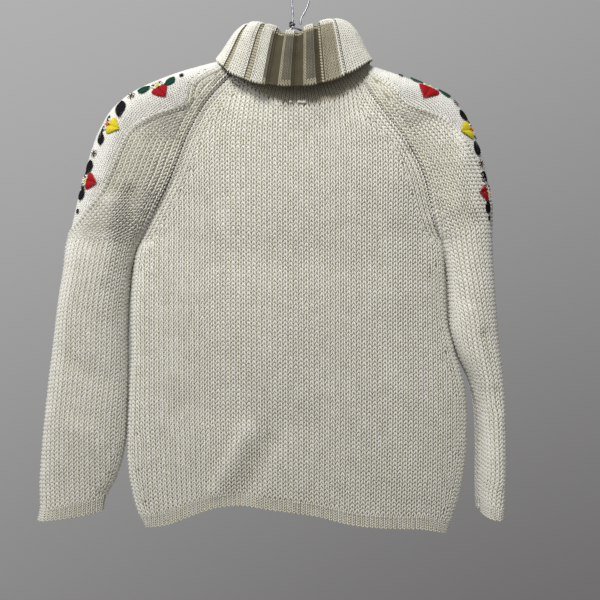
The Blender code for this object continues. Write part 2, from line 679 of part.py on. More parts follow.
def hanger_path():
    """The middle line of the wire: the hook's free end, the hook, the shank, round both arms and
    the bar, and up in a coil around the shank."""
    turns = np.radians(np.linspace(0, 180, HALF_TURN_POINTS))
    arc = np.stack([HOOK_RADIUS * np.cos(turns), HOOK_RADIUS * np.sin(turns)], axis=-1)
    arc[:, 1] += WIRE_RADIUS - HOOK_RADIUS
    left, right = hanger_arm(LEFT), hanger_arm(RIGHT)
    free_end = rounded(points_of(FREE_END), HOOK_SPACING)[:-1]
    down = rounded([arc[-1]] + points_of(SHANK) + left, ARM_SPACING)[1:]
    around = rounded([left[-1]] + hanger_tip(LEFT, left), TIP_SPACING)[1:]
    bar = rounded(hanger_tip(RIGHT, right)[::-1] + [right[-1]], TIP_SPACING)
    up = rounded(right[::-1] + [COIL_START], ARM_SPACING)[1:]
    flat = np.concatenate([free_end, arc, down, around, bar, up])
    path = np.stack([flat[:, 0], np.zeros(len(flat)), flat[:, 1]], axis=-1)
    return np.concatenate([path, hanger_coil()])


def hanger_coil():
    """The wire's end, wound round the shank."""
    radius = 2 * WIRE_RADIUS + SEAM
    turns = np.linspace(0, COIL_TURNS * 2 * np.pi, COIL_TURNS * COIL_TURN_POINTS + 1)
    return np.stack(
        [
            SHANK_X + radius * np.sin(turns),
            -radius * np.cos(turns),
            COIL_BOTTOM_Z + COIL_PITCH * turns / (2 * np.pi),
        ],
        axis=-1,
    )


def make_hanger(finish):
    path = hanger_path()
    curve = bpy.data.curves.new("hanger", "CURVE")
    curve.dimensions = "3D"
    curve.bevel_depth = WIRE_RADIUS * MM
    curve.bevel_resolution = 2
    curve.use_fill_caps = True
    spline = curve.splines.new("POLY")
    spline.points.add(len(path) - 1)
    for target, place in zip(spline.points, path):
        target.co = (*(place * MM), 1)
        target.radius = 1
    add("hanger", curve, finish)


def clear_scene():
    for old in list(bpy.data.objects):
        bpy.data.objects.remove(old)
    if "embroidered_sweater" not in bpy.data.collections:
        made = bpy.data.collections.new("embroidered_sweater")
        bpy.context.scene.collection.children.link(made)


def main():
    clear_scene()
    knit = material("cream_knit", KNIT_COLOUR, 0.85)
    fine = material("fine_knit", STRIP_COLOUR, 0.85)
    steel = material("steel_wire", STEEL_COLOUR, 0.35, metallic=1.0)
    make_panels(knit)
    make_sleeve(LEFT, "left", knit, fine)
    make_sleeve(RIGHT, "right", knit, fine)
    make_neck(knit)
    make_hanger(steel)


main()
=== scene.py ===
"""Looks of the embroidered turtleneck sweater on its wire hanger, back to the viewer.

The shapes are those of the solids, worked out again from the same tables in millimetres, with
finer folds, real stitches and the embroidery added. The wale is a column of stitches and the
course is a row of them. The look is cream wool-like yarn under a soft light that comes from
above in front, a little from the left.
"""

import bpy
import numpy as np
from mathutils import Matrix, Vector


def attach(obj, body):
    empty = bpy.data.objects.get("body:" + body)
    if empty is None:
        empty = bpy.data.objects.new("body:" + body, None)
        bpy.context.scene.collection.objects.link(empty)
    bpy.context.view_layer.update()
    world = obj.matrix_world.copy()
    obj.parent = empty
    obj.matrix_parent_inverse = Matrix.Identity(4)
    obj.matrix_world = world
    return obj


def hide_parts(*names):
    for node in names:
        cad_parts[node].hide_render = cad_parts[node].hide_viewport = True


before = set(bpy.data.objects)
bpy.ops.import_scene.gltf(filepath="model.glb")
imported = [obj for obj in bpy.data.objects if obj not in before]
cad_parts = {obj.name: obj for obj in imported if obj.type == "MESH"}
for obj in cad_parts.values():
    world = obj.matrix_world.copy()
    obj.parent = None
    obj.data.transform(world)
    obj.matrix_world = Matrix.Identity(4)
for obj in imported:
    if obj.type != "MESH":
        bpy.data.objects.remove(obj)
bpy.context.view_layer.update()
RANDOM = np.random.default_rng(7)

MM = 0.001
BACK, FRONT = -1, 1
LEFT, RIGHT = -1, 1

# Cloth
PANEL_WALL = 3.0
STRIP_WALL = 2.4
BAND_WALL = 2.8
COLLAR_WALL = 3.0
SEAM = 0.3
HALF_RAGLAN_GAP = 0.25
NECK_SEAM_HEIGHT = 0.02
HALF_NOTCH_GAP = 0.3

# A section's depth follows the sine of its turn to this power: under 1 is boxier than an ellipse
BOX = 0.75
MOST_EDGE_SHARE = 0.97

# Hem, cuffs and the notches over the shoulders, as levels
HEM_BOTTOM = -0.047
CUFF_BOTTOM = -0.055
BAND_SEAM_LEVEL = 0.0009
NOTCH_LEVEL = 1.05
STRIP_TIP_LEVEL = 1.0515

# Neckline, where the panels end and the neck band starts
NECK_X = 1.0
NECK_HALF_WIDTH = 95.0
NECK_HALF_DEPTH = 38.0
NECK_BOX = 0.9
NECK_SIDE_Z = -131.2
NECK_TILT = 4.8
NECK_DROP_BACK = 70.0
NECK_DROP_FRONT = 85.0
NECK_DROP_POWER = 1.3
NECK_BLEND_LEVEL = 1.88
SAG_LEVEL = 1.45
BACK_SEAM_ANGLES = (203.0, 331.0)
FRONT_SEAM_ANGLES = (157.0, 29.0)
NECK_GAP_ANGLE = 0.2

# Collar: 16 wide ribs around, with a groove near the centre back
COLLAR_RIBS = 16
RIB_HEIGHT = 2.2
LOOP_BOX = 0.8
LOOP_STEPS = 720

# Hanger
WIRE_RADIUS = 1.45
HOOK_RADIUS = 13.45
SHANK_X = -10.3
WIRE_GAP = 2.1
ARM_LEVELS = {LEFT: (1.97, 1.94, 1.91, 1.88, 1.85), RIGHT: (1.97, 1.94, 1.91, 1.88, 1.85, 1.82)}
ARM_START_X, ARM_START_Z = 22.0, -93.0
ARM_BEND_X, ARM_BEND_Z = 0.5, 0.47
BAND_HEIGHTS_OVER_ARM = (0.9, 0.45, 0.02)
HANGER_BAR_DROP = 17.0
HOOK_SPACING, TIP_SPACING, ARM_SPACING = 9.0, 5.0, 14.0
HALF_TURN_POINTS = 13
COIL_TURNS = 2
COIL_TURN_POINTS = 10
COIL_PITCH = 3.4
COIL_BOTTOM_Z = -84.0

# Step of the small differences that give a surface's directions
STEP = 1e-3


def table(columns, *rows):
    """A table with named columns, each an array."""
    return dict(zip(columns.split(), np.array(rows, float).T))


# Side edges of both panels, seen from behind: the side seams up to level 1, then the raglan seams
PANEL = table(
    "level left_x left_z right_x right_z edge_depth back front",
    (-0.047, -209.0, -762.0, 199.0, -769.0, 0, 26, 25),
    (0.00, -216.9, -745.3, 205.0, -751.0, 0, 27, 26),
    (0.10, -227.1, -709.9, 215.6, -712.6, 0, 29, 28),
    (0.21, -232.2, -671.8, 222.4, -671.8, 0, 31, 30),
    (0.36, -231.6, -613.4, 224.7, -613.4, 0, 33, 32),
    (0.49, -229.8, -568.5, 221.0, -568.5, 0, 34, 33),
    (0.61, -227.8, -525.0, 208.8, -525.0, 0, 35, 34),
    (0.73, -228.6, -482.8, 198.6, -482.8, 0, 36, 34),
    (0.86, -226.8, -436.6, 195.8, -434.0, 0, 36, 34),
    (1.00, -219.6, -383.5, 191.8, -376.7, 0, 36, 34),
    (1.05, -214.3, -373.3, 187.3, -366.6, 8, 36, 34),
    (1.10, -208.8, -363.2, 183.4, -356.5, 14, 36, 34),
    (1.25, -189.6, -329.5, 173.7, -328.2, 24, 36, 34),
    (1.40, -171.6, -296.5, 165.0, -295.8, 29, 36, 34),
    (1.52, -159.3, -267.2, 154.1, -269.8, 31, 36, 34),
    (1.64, -147.3, -237.2, 136.8, -241.1, 32, 36, 34),
    (1.76, -131.4, -207.2, 118.2, -217.7, 32, 36, 34),
    (1.88, -113.1, -181.9, 101.3, -195.1, 30, 36, 34),
    (2.00, -86.6, -150.4, 83.9, -169.1, 18, 38, 36),
)

# How far the hem rises above the straight line between its ends, across each panel
HEM_WAVE = {
    BACK: table(
        "across rise",
        (0.0, 0), (0.08, 8), (0.15, 20), (0.235, 33), (0.30, 37), (0.43, 32),
        (0.57, 25), (0.67, 15), (0.78, 10), (0.92, 7), (1.0, 0),
    ),
    FRONT: table(
        "across rise",
        (0.0, 0), (0.12, 12), (0.24, 26), (0.4, 28), (0.6, 19), (0.8, 9), (1.0, 0),
    ),
}
WAVE_END_LEVEL = 0.75
WAVE_POWER = 1.6

# Sleeves below the armpits: the inner edge by the body, the outer edge, and the half depths
SLEEVE = {
    LEFT: table(
        "level in_x in_z out_x out_z back front",
        (-0.055, -266.6, -739.8, -353.6, -753.4, 16, 15),
        (0.000, -262.5, -718.0, -350.9, -737.1, 17, 16),
        (0.085, -251.6, -696.3, -350.9, -701.0, 19, 18),
        (0.180, -242.1, -666.4, -348.8, -667.0, 22, 21),
        (0.375, -235.8, -598.4, -342.7, -599.7, 26, 25),
        (0.505, -234.8, -553.5, -337.3, -552.1, 28, 27),
        (0.670, -234.6, -495.0, -330.5, -497.7, 31, 30),
        (0.795, -233.2, -454.2, -325.0, -454.2, 34, 32),
        (0.930, -227.6, -407.6, -317.5, -410.7, 36, 34),
        (1.000, -219.6, -383.5, -314.8, -386.2, 36, 34),
    ),
    RIGHT: table(
        "level in_x in_z out_x out_z back front",
        (-0.055, 244.5, -741.0, 270.6, -741.0, 42, 41),
        (0.000, 243.5, -724.0, 271.5, -724.0, 43, 42),
        (0.080, 243.0, -697.0, 272.8, -697.0, 44, 43),
        (0.170, 243.4, -665.0, 273.4, -665.0, 45, 44),
        (0.305, 242.1, -618.8, 272.9, -618.8, 45, 44),
        (0.395, 238.0, -587.5, 272.0, -587.5, 45, 44),
        (0.475, 229.5, -558.9, 270.6, -558.9, 44, 43),
        (0.565, 214.5, -527.6, 267.9, -527.6, 43, 42),
        (0.650, 205.0, -497.0, 265.2, -499.0, 42, 41),
        (0.745, 202.6, -466.4, 262.5, -466.4, 41, 40),
        (0.845, 201.0, -431.0, 260.4, -431.0, 40, 39),
        (0.925, 197.6, -402.5, 258.4, -402.5, 39, 37),
        (1.000, 191.8, -376.7, 257.0, -372.6, 38, 36),
    ),
}

# Shoulders: the top line, the half depths, and how far the strip reaches down from the top
# line at the back and at the front, in degrees of the section's turn
SHOULDER = {
    LEFT: table(
        "level out_x out_z back front strip_back strip_front",
        (1.00, -314.8, -386.2, 36, 34, 5, 5),
        (1.05, -312.1, -374.0, 36, 34, 5, 5),
        (1.10, -308.7, -361.7, 36, 34, 28, 22),
        (1.25, -299.9, -322.3, 37, 35, 60, 45),
        (1.40, -289.7, -282.8, 37, 35, 65, 50),
        (1.52, -280.2, -250.2, 37, 35, 65, 54),
        (1.64, -267.9, -220.3, 36, 34, 69, 60),
        (1.70, -255.7, -199.9, 35.5, 34, 82, 70),
        (1.76, -235.3, -180.8, 35, 34, 97, 84),
        (1.88, -176.8, -153.0, 33, 32, 80, 74),
        (2.00, -93.8, -126.4, 30, 29, 60, 60),
    ),
    RIGHT: table(
        "level out_x out_z back front strip_back strip_front",
        (1.00, 257.0, -372.6, 38, 36, 5, 5),
        (1.05, 256.8, -360.4, 38, 36, 5, 5),
        (1.10, 256.4, -348.1, 38, 36, 9, 28),
        (1.25, 255.7, -318.2, 38, 36, 25, 62),
        (1.40, 252.3, -291.0, 38, 36, 40, 68),
        (1.52, 246.2, -261.1, 38, 36, 50, 68),
        (1.64, 233.9, -232.5, 37, 35, 55, 72),
        (1.70, 223.0, -208.0, 36, 34, 64, 84),
        (1.76, 208.1, -187.6, 35.5, 34, 81, 97),
        (1.88, 164.6, -164.5, 34, 33, 82, 80),
        (2.00, 96.6, -136.0, 30, 29, 60, 60),
    ),
}

# Soft folds: ends in the picture plane, half width, and height, below 0 for a trough
FOLD_COLUMNS = "x1 z1 x2 z2 width height"
PANEL_FOLDS = {
    BACK: table(
        FOLD_COLUMNS,
        (-112, -702, -70, -628, 15, 4.0),
        (-78, -712, -38, -640, 17, -3.0),
        (-150, -596, 10, -618, 26, -2.0),
        (-140, -392, 150, -402, 30, -2.2),
        (-60, -300, 70, -290, 60, 2.2),
        (120, -560, 165, -700, 30, 1.6),
        (-118, -330, -104, -560, 40, -3.0),
        (-50, -330, -36, -520, 40, 1.6),
        (120, -300, 128, -430, 30, 1.6),
        (168, -330, 146, -262, 14, -3.5),
        (-206, -340, -182, -300, 12, -2.5),
    ),
    FRONT: table(
        FOLD_COLUMNS,
        (-120, -420, 130, -410, 34, -2.6),
        (90, -700, 50, -600, 20, 3.0),
        (-130, -690, -100, -560, 26, 2.4),
        (-50, -330, 60, -340, 55, 2.0),
    ),
}
SLEEVE_FOLDS = {
    LEFT: table(
        FOLD_COLUMNS,
        (-238, -212, -258, -290, 13, 3.0),
        (-262, -560, -318, -520, 16, -2.6),
        (-268, -640, -330, -610, 18, 2.0),
        (-250, -470, -276, -400, 14, 2.2),
        (-222, -316, -228, -410, 12, -5.0),
        (-244, -330, -252, -420, 12, 2.5),
        (-300, -420, -330, -660, 5, 0.9),
    ),
    RIGHT: table(
        FOLD_COLUMNS,
        (214, -240, 228, -330, 12, 3.0),
        (222, -470, 246, -560, 10, 3.0),
        (238, -500, 258, -590, 8, -2.4),
        (246, -640, 262, -690, 9, 2.0),
        (205, -330, 212, -250, 11, 2.5),
        (250, -600, 256, -720, 6, -1.2),
    ),
}

# Collar, by the angle around the neck: 180 is the left side, 270 the centre back, 360 the right
RIM = table(
    "angle z",
    (180, -92), (200, -88), (215, -88), (230, -91), (245, -97), (256, -103), (270, -103.5),
    (280, -98), (292, -92), (305, -87.5), (320, -85.5), (337, -87), (360, -94),
    (405, -99), (450, -104), (495, -98), (540, -92),
)
FLAP_EDGE = table(
    "angle z",
    (180, -124), (200, -139), (215, -154), (230, -166), (245, -175), (260, -179),
    (270, -180), (285, -177), (300, -169), (315, -157), (330, -144), (345, -133),
    (360, -128.5), (405, -166), (450, -192), (495, -162), (540, -124),
)
STAND_FOOT = table(
    "angle z",
    (180, -112), (225, -143), (270, -171), (315, -150), (360, -120),
    (405, -153), (450, -186), (495, -146), (540, -112),
)
STAND_HALF_WIDTH, STAND_HALF_DEPTH = 72.0, 33.0

# Rows of the collar: loop sizes, how far from rim to edge or foot, and how far below the rim
COLLAR = table(
    "row centre_x half_width half_depth to_foot to_edge below",
    (0, 0.0, 69.0, 30.0, 1.00, 0.00, -0.9),
    (1, -1.0, 68.0, 30.0, 0.50, 0.00, 0.0),
    (2, -2.5, 67.5, 30.5, 0.00, 0.00, 7.0),
    (3, -3.0, 68.5, 31.5, 0.00, 0.00, 2.0),
    (4, -3.5, 72.0, 35.0, 0.00, 0.00, 0.0),
    (5, -4.0, 76.5, 39.0, 0.00, 0.00, 3.0),
    (6, -5.0, 82.5, 43.5, 0.00, 0.20, 0.0),
    (7, -6.0, 89.0, 48.0, 0.00, 0.45, 0.0),
    (8, -7.0, 96.0, 52.5, 0.00, 0.72, 0.0),
    (9, -8.0, 104.0, 57.0, 0.00, 1.00, 0.0),
)
MIDDLE_ROW = 7
RIB_SHARE = np.array([0.3, 0.5, 0.7, 0.8, 0.8, 0.9, 1, 1, 1, 1])

# The wire beside its arms: the hook's free end, the shank, where the coil starts, and the turn
# at an arm's tip, out from the arm's end and down to the bar
FREE_END = table(
    "x z",
    (0.8, -79), (1.1, -73), (3.6, -67), (7.6, -61), (10.9, -53), (13.2, -43), (13.9, -27),
    (HOOK_RADIUS, WIRE_RADIUS - HOOK_RADIUS),
)
SHANK = table("x z", (-12.6, -30), (-10.9, -48), (-10.3, -62), (-10.3, -85), (-12.8, -88))
COIL_START = 0.7, -87.0
TIP_TURN = table("out down", (5.6, 6), (7.5, 10), (4.5, 16), (-7.5, HANGER_BAR_DROP))

SLEEVE_HALF_COLUMNS, STRIP_COLUMNS = 7, 6


def smooth(knots, values, at):
    """The value at `at` of a smooth curve through (knots, values)."""
    at = np.clip(at, knots[0], knots[-1])
    i = np.clip(np.searchsorted(knots, at, side="right") - 1, 0, len(knots) - 2)
    slopes = np.gradient(values, knots)
    width = knots[i + 1] - knots[i]
    t = (at - knots[i]) / width
    start = values[i] * (2 * t**3 - 3 * t**2 + 1) + slopes[i] * width * (t**3 - 2 * t**2 + t)
    end = values[i + 1] * (3 * t**2 - 2 * t**3) + slopes[i + 1] * width * (t**3 - t**2)
    return start + end


def ramp(at, start, end):
    """0 before start, 1 after end, and smooth between them."""
    t = np.clip((at - start) / (end - start), 0, 1)
    return t * t * (3 - 2 * t)


def bulge(sine, power):
    """A sine to this power, with its sign kept."""
    return np.sign(sine) * np.abs(sine) ** power


def mix(a, b, share):
    return a + (b - a) * share


def path_length(line):
    """The length along a line of points, up to each of them."""
    steps = np.linalg.norm(np.diff(line, axis=0), axis=1)
    return np.concatenate([[0], np.cumsum(steps)])


def fold_height(x, z, folds):
    """How far the soft folds lift the cloth at (x, z)."""
    total = np.zeros(np.broadcast(x, z).shape)
    for x1, z1, x2, z2, width, height in zip(*folds.values()):
        along = ((x - x1) * (x2 - x1) + (z - z1) * (z2 - z1)) / ((x2 - x1) ** 2 + (z2 - z1) ** 2)
        along = np.clip(along, 0, 1)
        squared = (x - mix(x1, x2, along)) ** 2 + (z - mix(z1, z2, along)) ** 2
        total = total + height * np.exp(-squared / width**2)
    return total


def neckline(degrees):
    """Points of the loop where the panels end, at these angles around the neck."""
    angle = np.radians(degrees)
    c, s = np.cos(angle), np.sin(angle)
    drop = np.where(s < 0, NECK_DROP_BACK, NECK_DROP_FRONT)
    return (
        NECK_X + NECK_HALF_WIDTH * c,
        NECK_HALF_DEPTH * bulge(s, NECK_BOX),
        NECK_SIDE_Z - NECK_TILT * c - drop * np.abs(s) ** NECK_DROP_POWER,
    )


def towards_neckline(x, y, z, degrees, level):
    """The last rows close in on the neckline, and the last one lies on it."""
    share = ramp(level, NECK_BLEND_LEVEL, 2)
    neck_x, neck_y, neck_z = neckline(degrees)
    return np.stack([mix(x, neck_x, share), mix(y, neck_y, share), mix(z, neck_z, share)], axis=-1)


def panel_degrees(side, across):
    """Angles around the neck where a panel's columns end."""
    first, last = BACK_SEAM_ANGLES if side == BACK else FRONT_SEAM_ANGLES
    gap = -side * NECK_GAP_ANGLE
    return mix(first + gap, last - gap, across)


def panel_point(side, across, level):
    """Outer points of a body panel, across from 0 at the left seam to 1 at the right one."""
    column = {name: smooth(PANEL["level"], values, level) for name, values in PANEL.items()}
    left_x = column["left_x"] + HALF_RAGLAN_GAP
    right_x = column["right_x"] - HALF_RAGLAN_GAP
    depth = column["back" if side == BACK else "front"]
    edge = np.clip(column["edge_depth"] / depth, 0, MOST_EDGE_SHARE) ** (1 / BOX)
    start = np.arcsin(edge)
    turn = start + (np.pi - 2 * start) * across
    x = (left_x + right_x) / 2 - (right_x - left_x) / 2 * np.cos(turn) / np.cos(start)
    share = (x - left_x) / (right_x - left_x)
    z = mix(column["left_z"], column["right_z"], share)
    wave = smooth(*HEM_WAVE[side].values(), share)
    z = z + wave * np.clip(1 - level / WAVE_END_LEVEL, 0, 1) ** WAVE_POWER
    degrees = panel_degrees(side, across)
    first, last = panel_degrees(side, 0), panel_degrees(side, 1)
    sag = neckline(degrees)[2] - mix(neckline(first)[2], neckline(last)[2], across)
    z = z + sag * ramp(level, SAG_LEVEL, 2)
    y = depth * bulge(np.sin(turn), BOX) + fold_height(x, z, PANEL_FOLDS[side]) * np.sin(turn)
    return towards_neckline(x, side * (y + SEAM / 2), z, degrees, level)


def raglan_edge(name, level):
    """One of the panel table's columns at these levels."""
    return smooth(PANEL["level"], PANEL[name], level)


def sleeve_columns(side, level):
    """The sleeve's table columns at these levels, with the raglan seam above the armpit."""
    low, high = SLEEVE[side], SHOULDER[side]
    seam = "left" if side == LEFT else "right"
    on_seam = {"in_x": seam + "_x", "in_z": seam + "_z"}
    yoke = {name: raglan_edge(key, high["level"]) for name, key in on_seam.items()}
    levels = np.concatenate([low["level"][:-1], high["level"]])
    column = {}
    for name in ("in_x", "in_z", "out_x", "out_z", "back", "front"):
        values = np.concatenate([low[name][:-1], yoke.get(name, high.get(name))])
        column[name] = smooth(levels, values, level)
    for name, key in on_seam.items():
        column[name] = np.where(level > 1, raglan_edge(key, level), column[name])
    column["edge_depth"] = raglan_edge("edge_depth", np.maximum(level, 1))
    return column


def sleeve_degrees(side, around):
    """Angles around the neck where a sleeve's and a strip's columns end."""
    top = 180.0 if side == LEFT else 360.0
    back_seam = BACK_SEAM_ANGLES[side > 0]
    front_seam = FRONT_SEAM_ANGLES[side > 0] + (360.0 if side == RIGHT else 0.0)
    reach = np.where(around > 0, front_seam - top, back_seam - top)
    return top + np.abs(around) * reach


def seam_turn(column, half):
    """The turn at which a sleeve's half section starts at its seam."""
    edge = np.clip(column["edge_depth"] / column[half], 0, MOST_EDGE_SHARE)
    return np.arcsin(edge ** (1 / BOX))


def sleeve_point(side, around, level):
    """Outer points of a sleeve: around is -1 at the back seam, 0 on the shoulder line and its
    continuation down the outer edge, and 1 at the front seam. Below the armpit it is closed."""
    column = sleeve_columns(side, level)
    front = around > 0
    start = np.where(front, seam_turn(column, "front"), seam_turn(column, "back"))
    depth = np.where(front, column["front"], column["back"])
    turn = np.pi - np.abs(around) * (np.pi - start)
    share = (np.cos(start) - np.cos(turn)) / (1 + np.cos(start))
    x = mix(column["in_x"] + side * HALF_RAGLAN_GAP, column["out_x"], share)
    z = mix(column["in_z"], column["out_z"], share)
    y = depth * bulge(np.sin(turn), BOX)
    y = y + fold_height(x, z, SLEEVE_FOLDS[side]) * np.sin(turn) ** 2
    return towards_neckline(x, np.where(front, y, -y), z, sleeve_degrees(side, around), level)


def strip_edge(side, half, level):
    """Where the strip ends, as a share of the way from the shoulder line to the seam."""
    high = SHOULDER[side]
    reach = smooth(high["level"], high["strip_" + half], np.maximum(level, 1))
    return reach / np.degrees(np.pi - seam_turn(sleeve_columns(side, level), half))


def loop_angles(count):
    """Angles around the neck at equal steps of a middle loop, from the centre back."""
    steps = np.radians(np.linspace(270, 630, LOOP_STEPS + 1))
    middle = COLLAR["half_width"][MIDDLE_ROW], COLLAR["half_depth"][MIDDLE_ROW]
    line = [middle[0] * np.cos(steps), middle[1] * bulge(np.sin(steps), LOOP_BOX)]
    length = path_length(np.stack(line, axis=-1))
    wanted = np.arange(count + 1) / count * length[-1]
    return np.degrees(np.interp(wanted, length, steps))


def by_angle(rows, degrees):
    """A collar table's z at these angles, the same after each full turn."""
    return smooth(rows["angle"], rows["z"], 180 + (degrees - 180) % 360)


def band_point(degrees, height):
    """Outer points of the neck band, from 0 at the neckline to 1 at the collar's foot."""
    angle = np.radians(degrees)
    x0, y0, z0 = neckline(degrees)
    x1 = STAND_HALF_WIDTH * np.cos(angle)
    y1 = STAND_HALF_DEPTH * bulge(np.sin(angle), LOOP_BOX)
    z1 = by_angle(STAND_FOOT, degrees)
    return np.stack([mix(x0, x1, height), mix(y0, y1, height), mix(z0, z1, height)], axis=-1)


def collar_point(degrees, row):
    """Points of the collar's shown side: up inside the neck, over the rim and down outside."""
    angle = np.radians(degrees)
    column = {name: smooth(COLLAR["row"], values, row) for name, values in COLLAR.items()}
    rim, foot, edge = (by_angle(rows, degrees) for rows in (RIM, STAND_FOOT, FLAP_EDGE))
    x = column["centre_x"] + column["half_width"] * np.cos(angle)
    y = column["half_depth"] * bulge(np.sin(angle), LOOP_BOX)
    z = rim + (foot - rim) * column["to_foot"] + (edge - rim) * column["to_edge"]
    return np.stack([x, y, z - column["below"]], axis=-1)


def normals(point, a, b, step_a=STEP, step_b=STEP):
    """Unit normals of point(a, b), on the side that a x b faces."""
    da = point(a + step_a, b) - point(a - step_a, b)
    db = point(a, b + step_b) - point(a, b - step_b)
    normal = np.cross(da, db)
    return normal / np.linalg.norm(normal, axis=-1, keepdims=True)


def neck_out(degrees):
    """The way out of the cloth along the neckline, which all the pieces that meet there share."""
    return normals(band_point, degrees, np.zeros(np.shape(degrees)), step_a=0.1)


def grid(columns, levels):
    """Matching arrays of columns and levels, a row of the arrays for each level."""
    return np.meshgrid(np.asarray(columns, float), np.asarray(levels, float))


def sleeve_around(side, levels, gap):
    """Columns of a sleeve for each level: the back part, then the front part past the strip."""
    rows = []
    for level in levels:
        at = np.array(level)
        room = []
        for sign, half in ((-1, "back"), (1, "front")):
            edge = sign * strip_edge(side, half, at)
            reach = sleeve_point(side, edge + STEP, at) - sleeve_point(side, edge - STEP, at)
            room.append(edge + sign * gap * 2 * STEP / np.linalg.norm(reach))
        back = np.linspace(-1, room[0], SLEEVE_HALF_COLUMNS + 1)
        front = np.linspace(room[1], 1, SLEEVE_HALF_COLUMNS + 1)
        rows.append(np.concatenate([back, front]))
    return np.array(rows)


def strip_around(side, levels):
    """Columns of a strip for each level, between the two parts of the sleeve."""
    edges = sleeve_around(side, levels, -HALF_NOTCH_GAP)
    first, last = edges[:, SLEEVE_HALF_COLUMNS], edges[:, SLEEVE_HALF_COLUMNS + 1]
    return mix(first[:, None], last[:, None], np.linspace(0, 1, STRIP_COLUMNS + 1))


def under(point, a, b, facing, wall):
    """Where the wire's middle lies, just inside the cloth at point(a, b)."""
    a, b = np.array([a]), np.array([b])
    out = facing * normals(point, a, b)
    place = point(a, b) - out * (wall + WIRE_RADIUS + WIRE_GAP)
    return float(place[0, 0]), float(place[0, 2])


def hanger_arm(side):
    """Middle points of one arm, from the neck out to the tip, just under the shoulder."""
    degrees = 180.0 if side == LEFT else 360.0
    over = [under(band_point, degrees, height, 1, BAND_WALL) for height in BAND_HEIGHTS_OVER_ARM]
    start_x = side * ARM_START_X
    bend = mix(start_x, over[0][0], ARM_BEND_X), mix(ARM_START_Z, over[0][1], ARM_BEND_Z)
    arm = [(start_x, ARM_START_Z), bend] + over
    for level in ARM_LEVELS[side]:
        arm.append(under(lambda a, b: sleeve_point(side, a, b), 0.0, level, side, STRIP_WALL))
    return arm


def hanger_tip(side, arm):
    """The turn at an arm's end, down to the level of the bottom bar."""
    x, z = arm[-1]
    return [(x + side * out, z - down) for out, down in zip(*TIP_TURN.values())]


def rounded(points, spacing):
    """Points at about this spacing on a smooth curve through a list of points."""
    line = np.array(points, float)
    length = path_length(line)
    count = max(2, int(round(length[-1] / spacing)) + 1)
    wanted = np.linspace(0, length[-1], count)
    return np.stack([smooth(length, line[:, k], wanted) for k in range(2)], axis=-1)


def points_of(rows):
    return list(zip(*rows.values()))


def hanger_path():
    """The middle line of the wire: the hook's free end, the hook, the shank, round both arms and
    the bar, and up in a coil around the shank."""
    turns = np.radians(np.linspace(0, 180, HALF_TURN_POINTS))
    arc = np.stack([HOOK_RADIUS * np.cos(turns), HOOK_RADIUS * np.sin(turns)], axis=-1)
    arc[:, 1] += WIRE_RADIUS - HOOK_RADIUS
    left, right = hanger_arm(LEFT), hanger_arm(RIGHT)
    free_end = rounded(points_of(FREE_END), HOOK_SPACING)[:-1]
    down = rounded([arc[-1]] + points_of(SHANK) + left, ARM_SPACING)[1:]
    around = rounded([left[-1]] + hanger_tip(LEFT, left), TIP_SPACING)[1:]
    bar = rounded(hanger_tip(RIGHT, right)[::-1] + [right[-1]], TIP_SPACING)
    up = rounded(right[::-1] + [COIL_START], ARM_SPACING)[1:]
    flat = np.concatenate([free_end, arc, down, around, bar, up])
    path = np.stack([flat[:, 0], np.zeros(len(flat)), flat[:, 1]], axis=-1)
    return np.concatenate([path, hanger_coil()])


def hanger_coil():
    """The wire's end, wound round the shank."""
    radius = 2 * WIRE_RADIUS + SEAM
    turns = np.linspace(0, COIL_TURNS * 2 * np.pi, COIL_TURNS * COIL_TURN_POINTS + 1)
    height = COIL_BOTTOM_Z + COIL_PITCH * turns / (2 * np.pi)
    return np.stack([SHANK_X + radius * np.sin(turns), -radius * np.cos(turns), height], axis=-1)


# Shells of the knitted pieces. Their shown side and the stitches' feet lie this far under the
# solids' own
SINK = 0.7
SHARP_EDGE = 60


def quads_of(ids, keep, facing):
    """Quads over a grid of point numbers, where keep says that the cell has cloth."""
    corners = [ids[:-1, :-1], ids[:-1, 1:], ids[1:, 1:], ids[1:, :-1]]
    quads = np.stack(corners, axis=-1)[keep]
    return quads if facing > 0 else quads[:, ::-1]


def put(name, mesh, finish):
    """A new object of this mesh and on the part's one body."""
    made = bpy.data.objects.new(name, mesh)
    bpy.context.scene.collection.objects.link(made)
    mesh.materials.append(finish)
    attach(made, "root")
    return made


def shell(node, point, a, b, facing, wall, finish, slot="cream_knit", raised=0.0, keep=None,
          neck=None):
    """A thin closed wall in the place of a node, its shown side just under point(a, b)."""
    shown = point(a, b)
    out = facing * normals(point, a, b)
    if neck is not None:
        out[-1] = neck_out(neck)
    if keep is None:
        keep = np.ones((a.shape[0] - 1, a.shape[1] - 1), bool)
    flat = np.round(shown.reshape(-1, 3), 3)
    _, first, ids = np.unique(flat, axis=0, return_index=True, return_inverse=True)
    raise_by = np.asarray(raised)[..., None] - SINK
    outer = (shown + out * raise_by).reshape(-1, 3)[first]
    inner = (shown - out * wall).reshape(-1, 3)[first]
    quads = quads_of(ids.reshape(a.shape), keep, facing)
    count = len(outer)
    faces = [tuple(quad) for quad in quads] + [tuple(quad[::-1] + count) for quad in quads]
    directed = {(int(quad[k]), int(quad[k - 3])) for quad in quads for k in range(4)}
    faces += [(j, i, i + count, j + count) for i, j in sorted(directed) if (j, i) not in directed]
    name = node + "_ground"
    mesh = bpy.data.meshes.new(name)
    mesh.from_pydata((np.concatenate([outer, inner]) * MM).tolist(), [], faces)
    mesh.validate()
    mesh.shade_smooth()
    mesh.set_sharp_from_angle(angle=np.radians(SHARP_EDGE))
    made = put(name, mesh, finish)
    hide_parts(node)
    return made


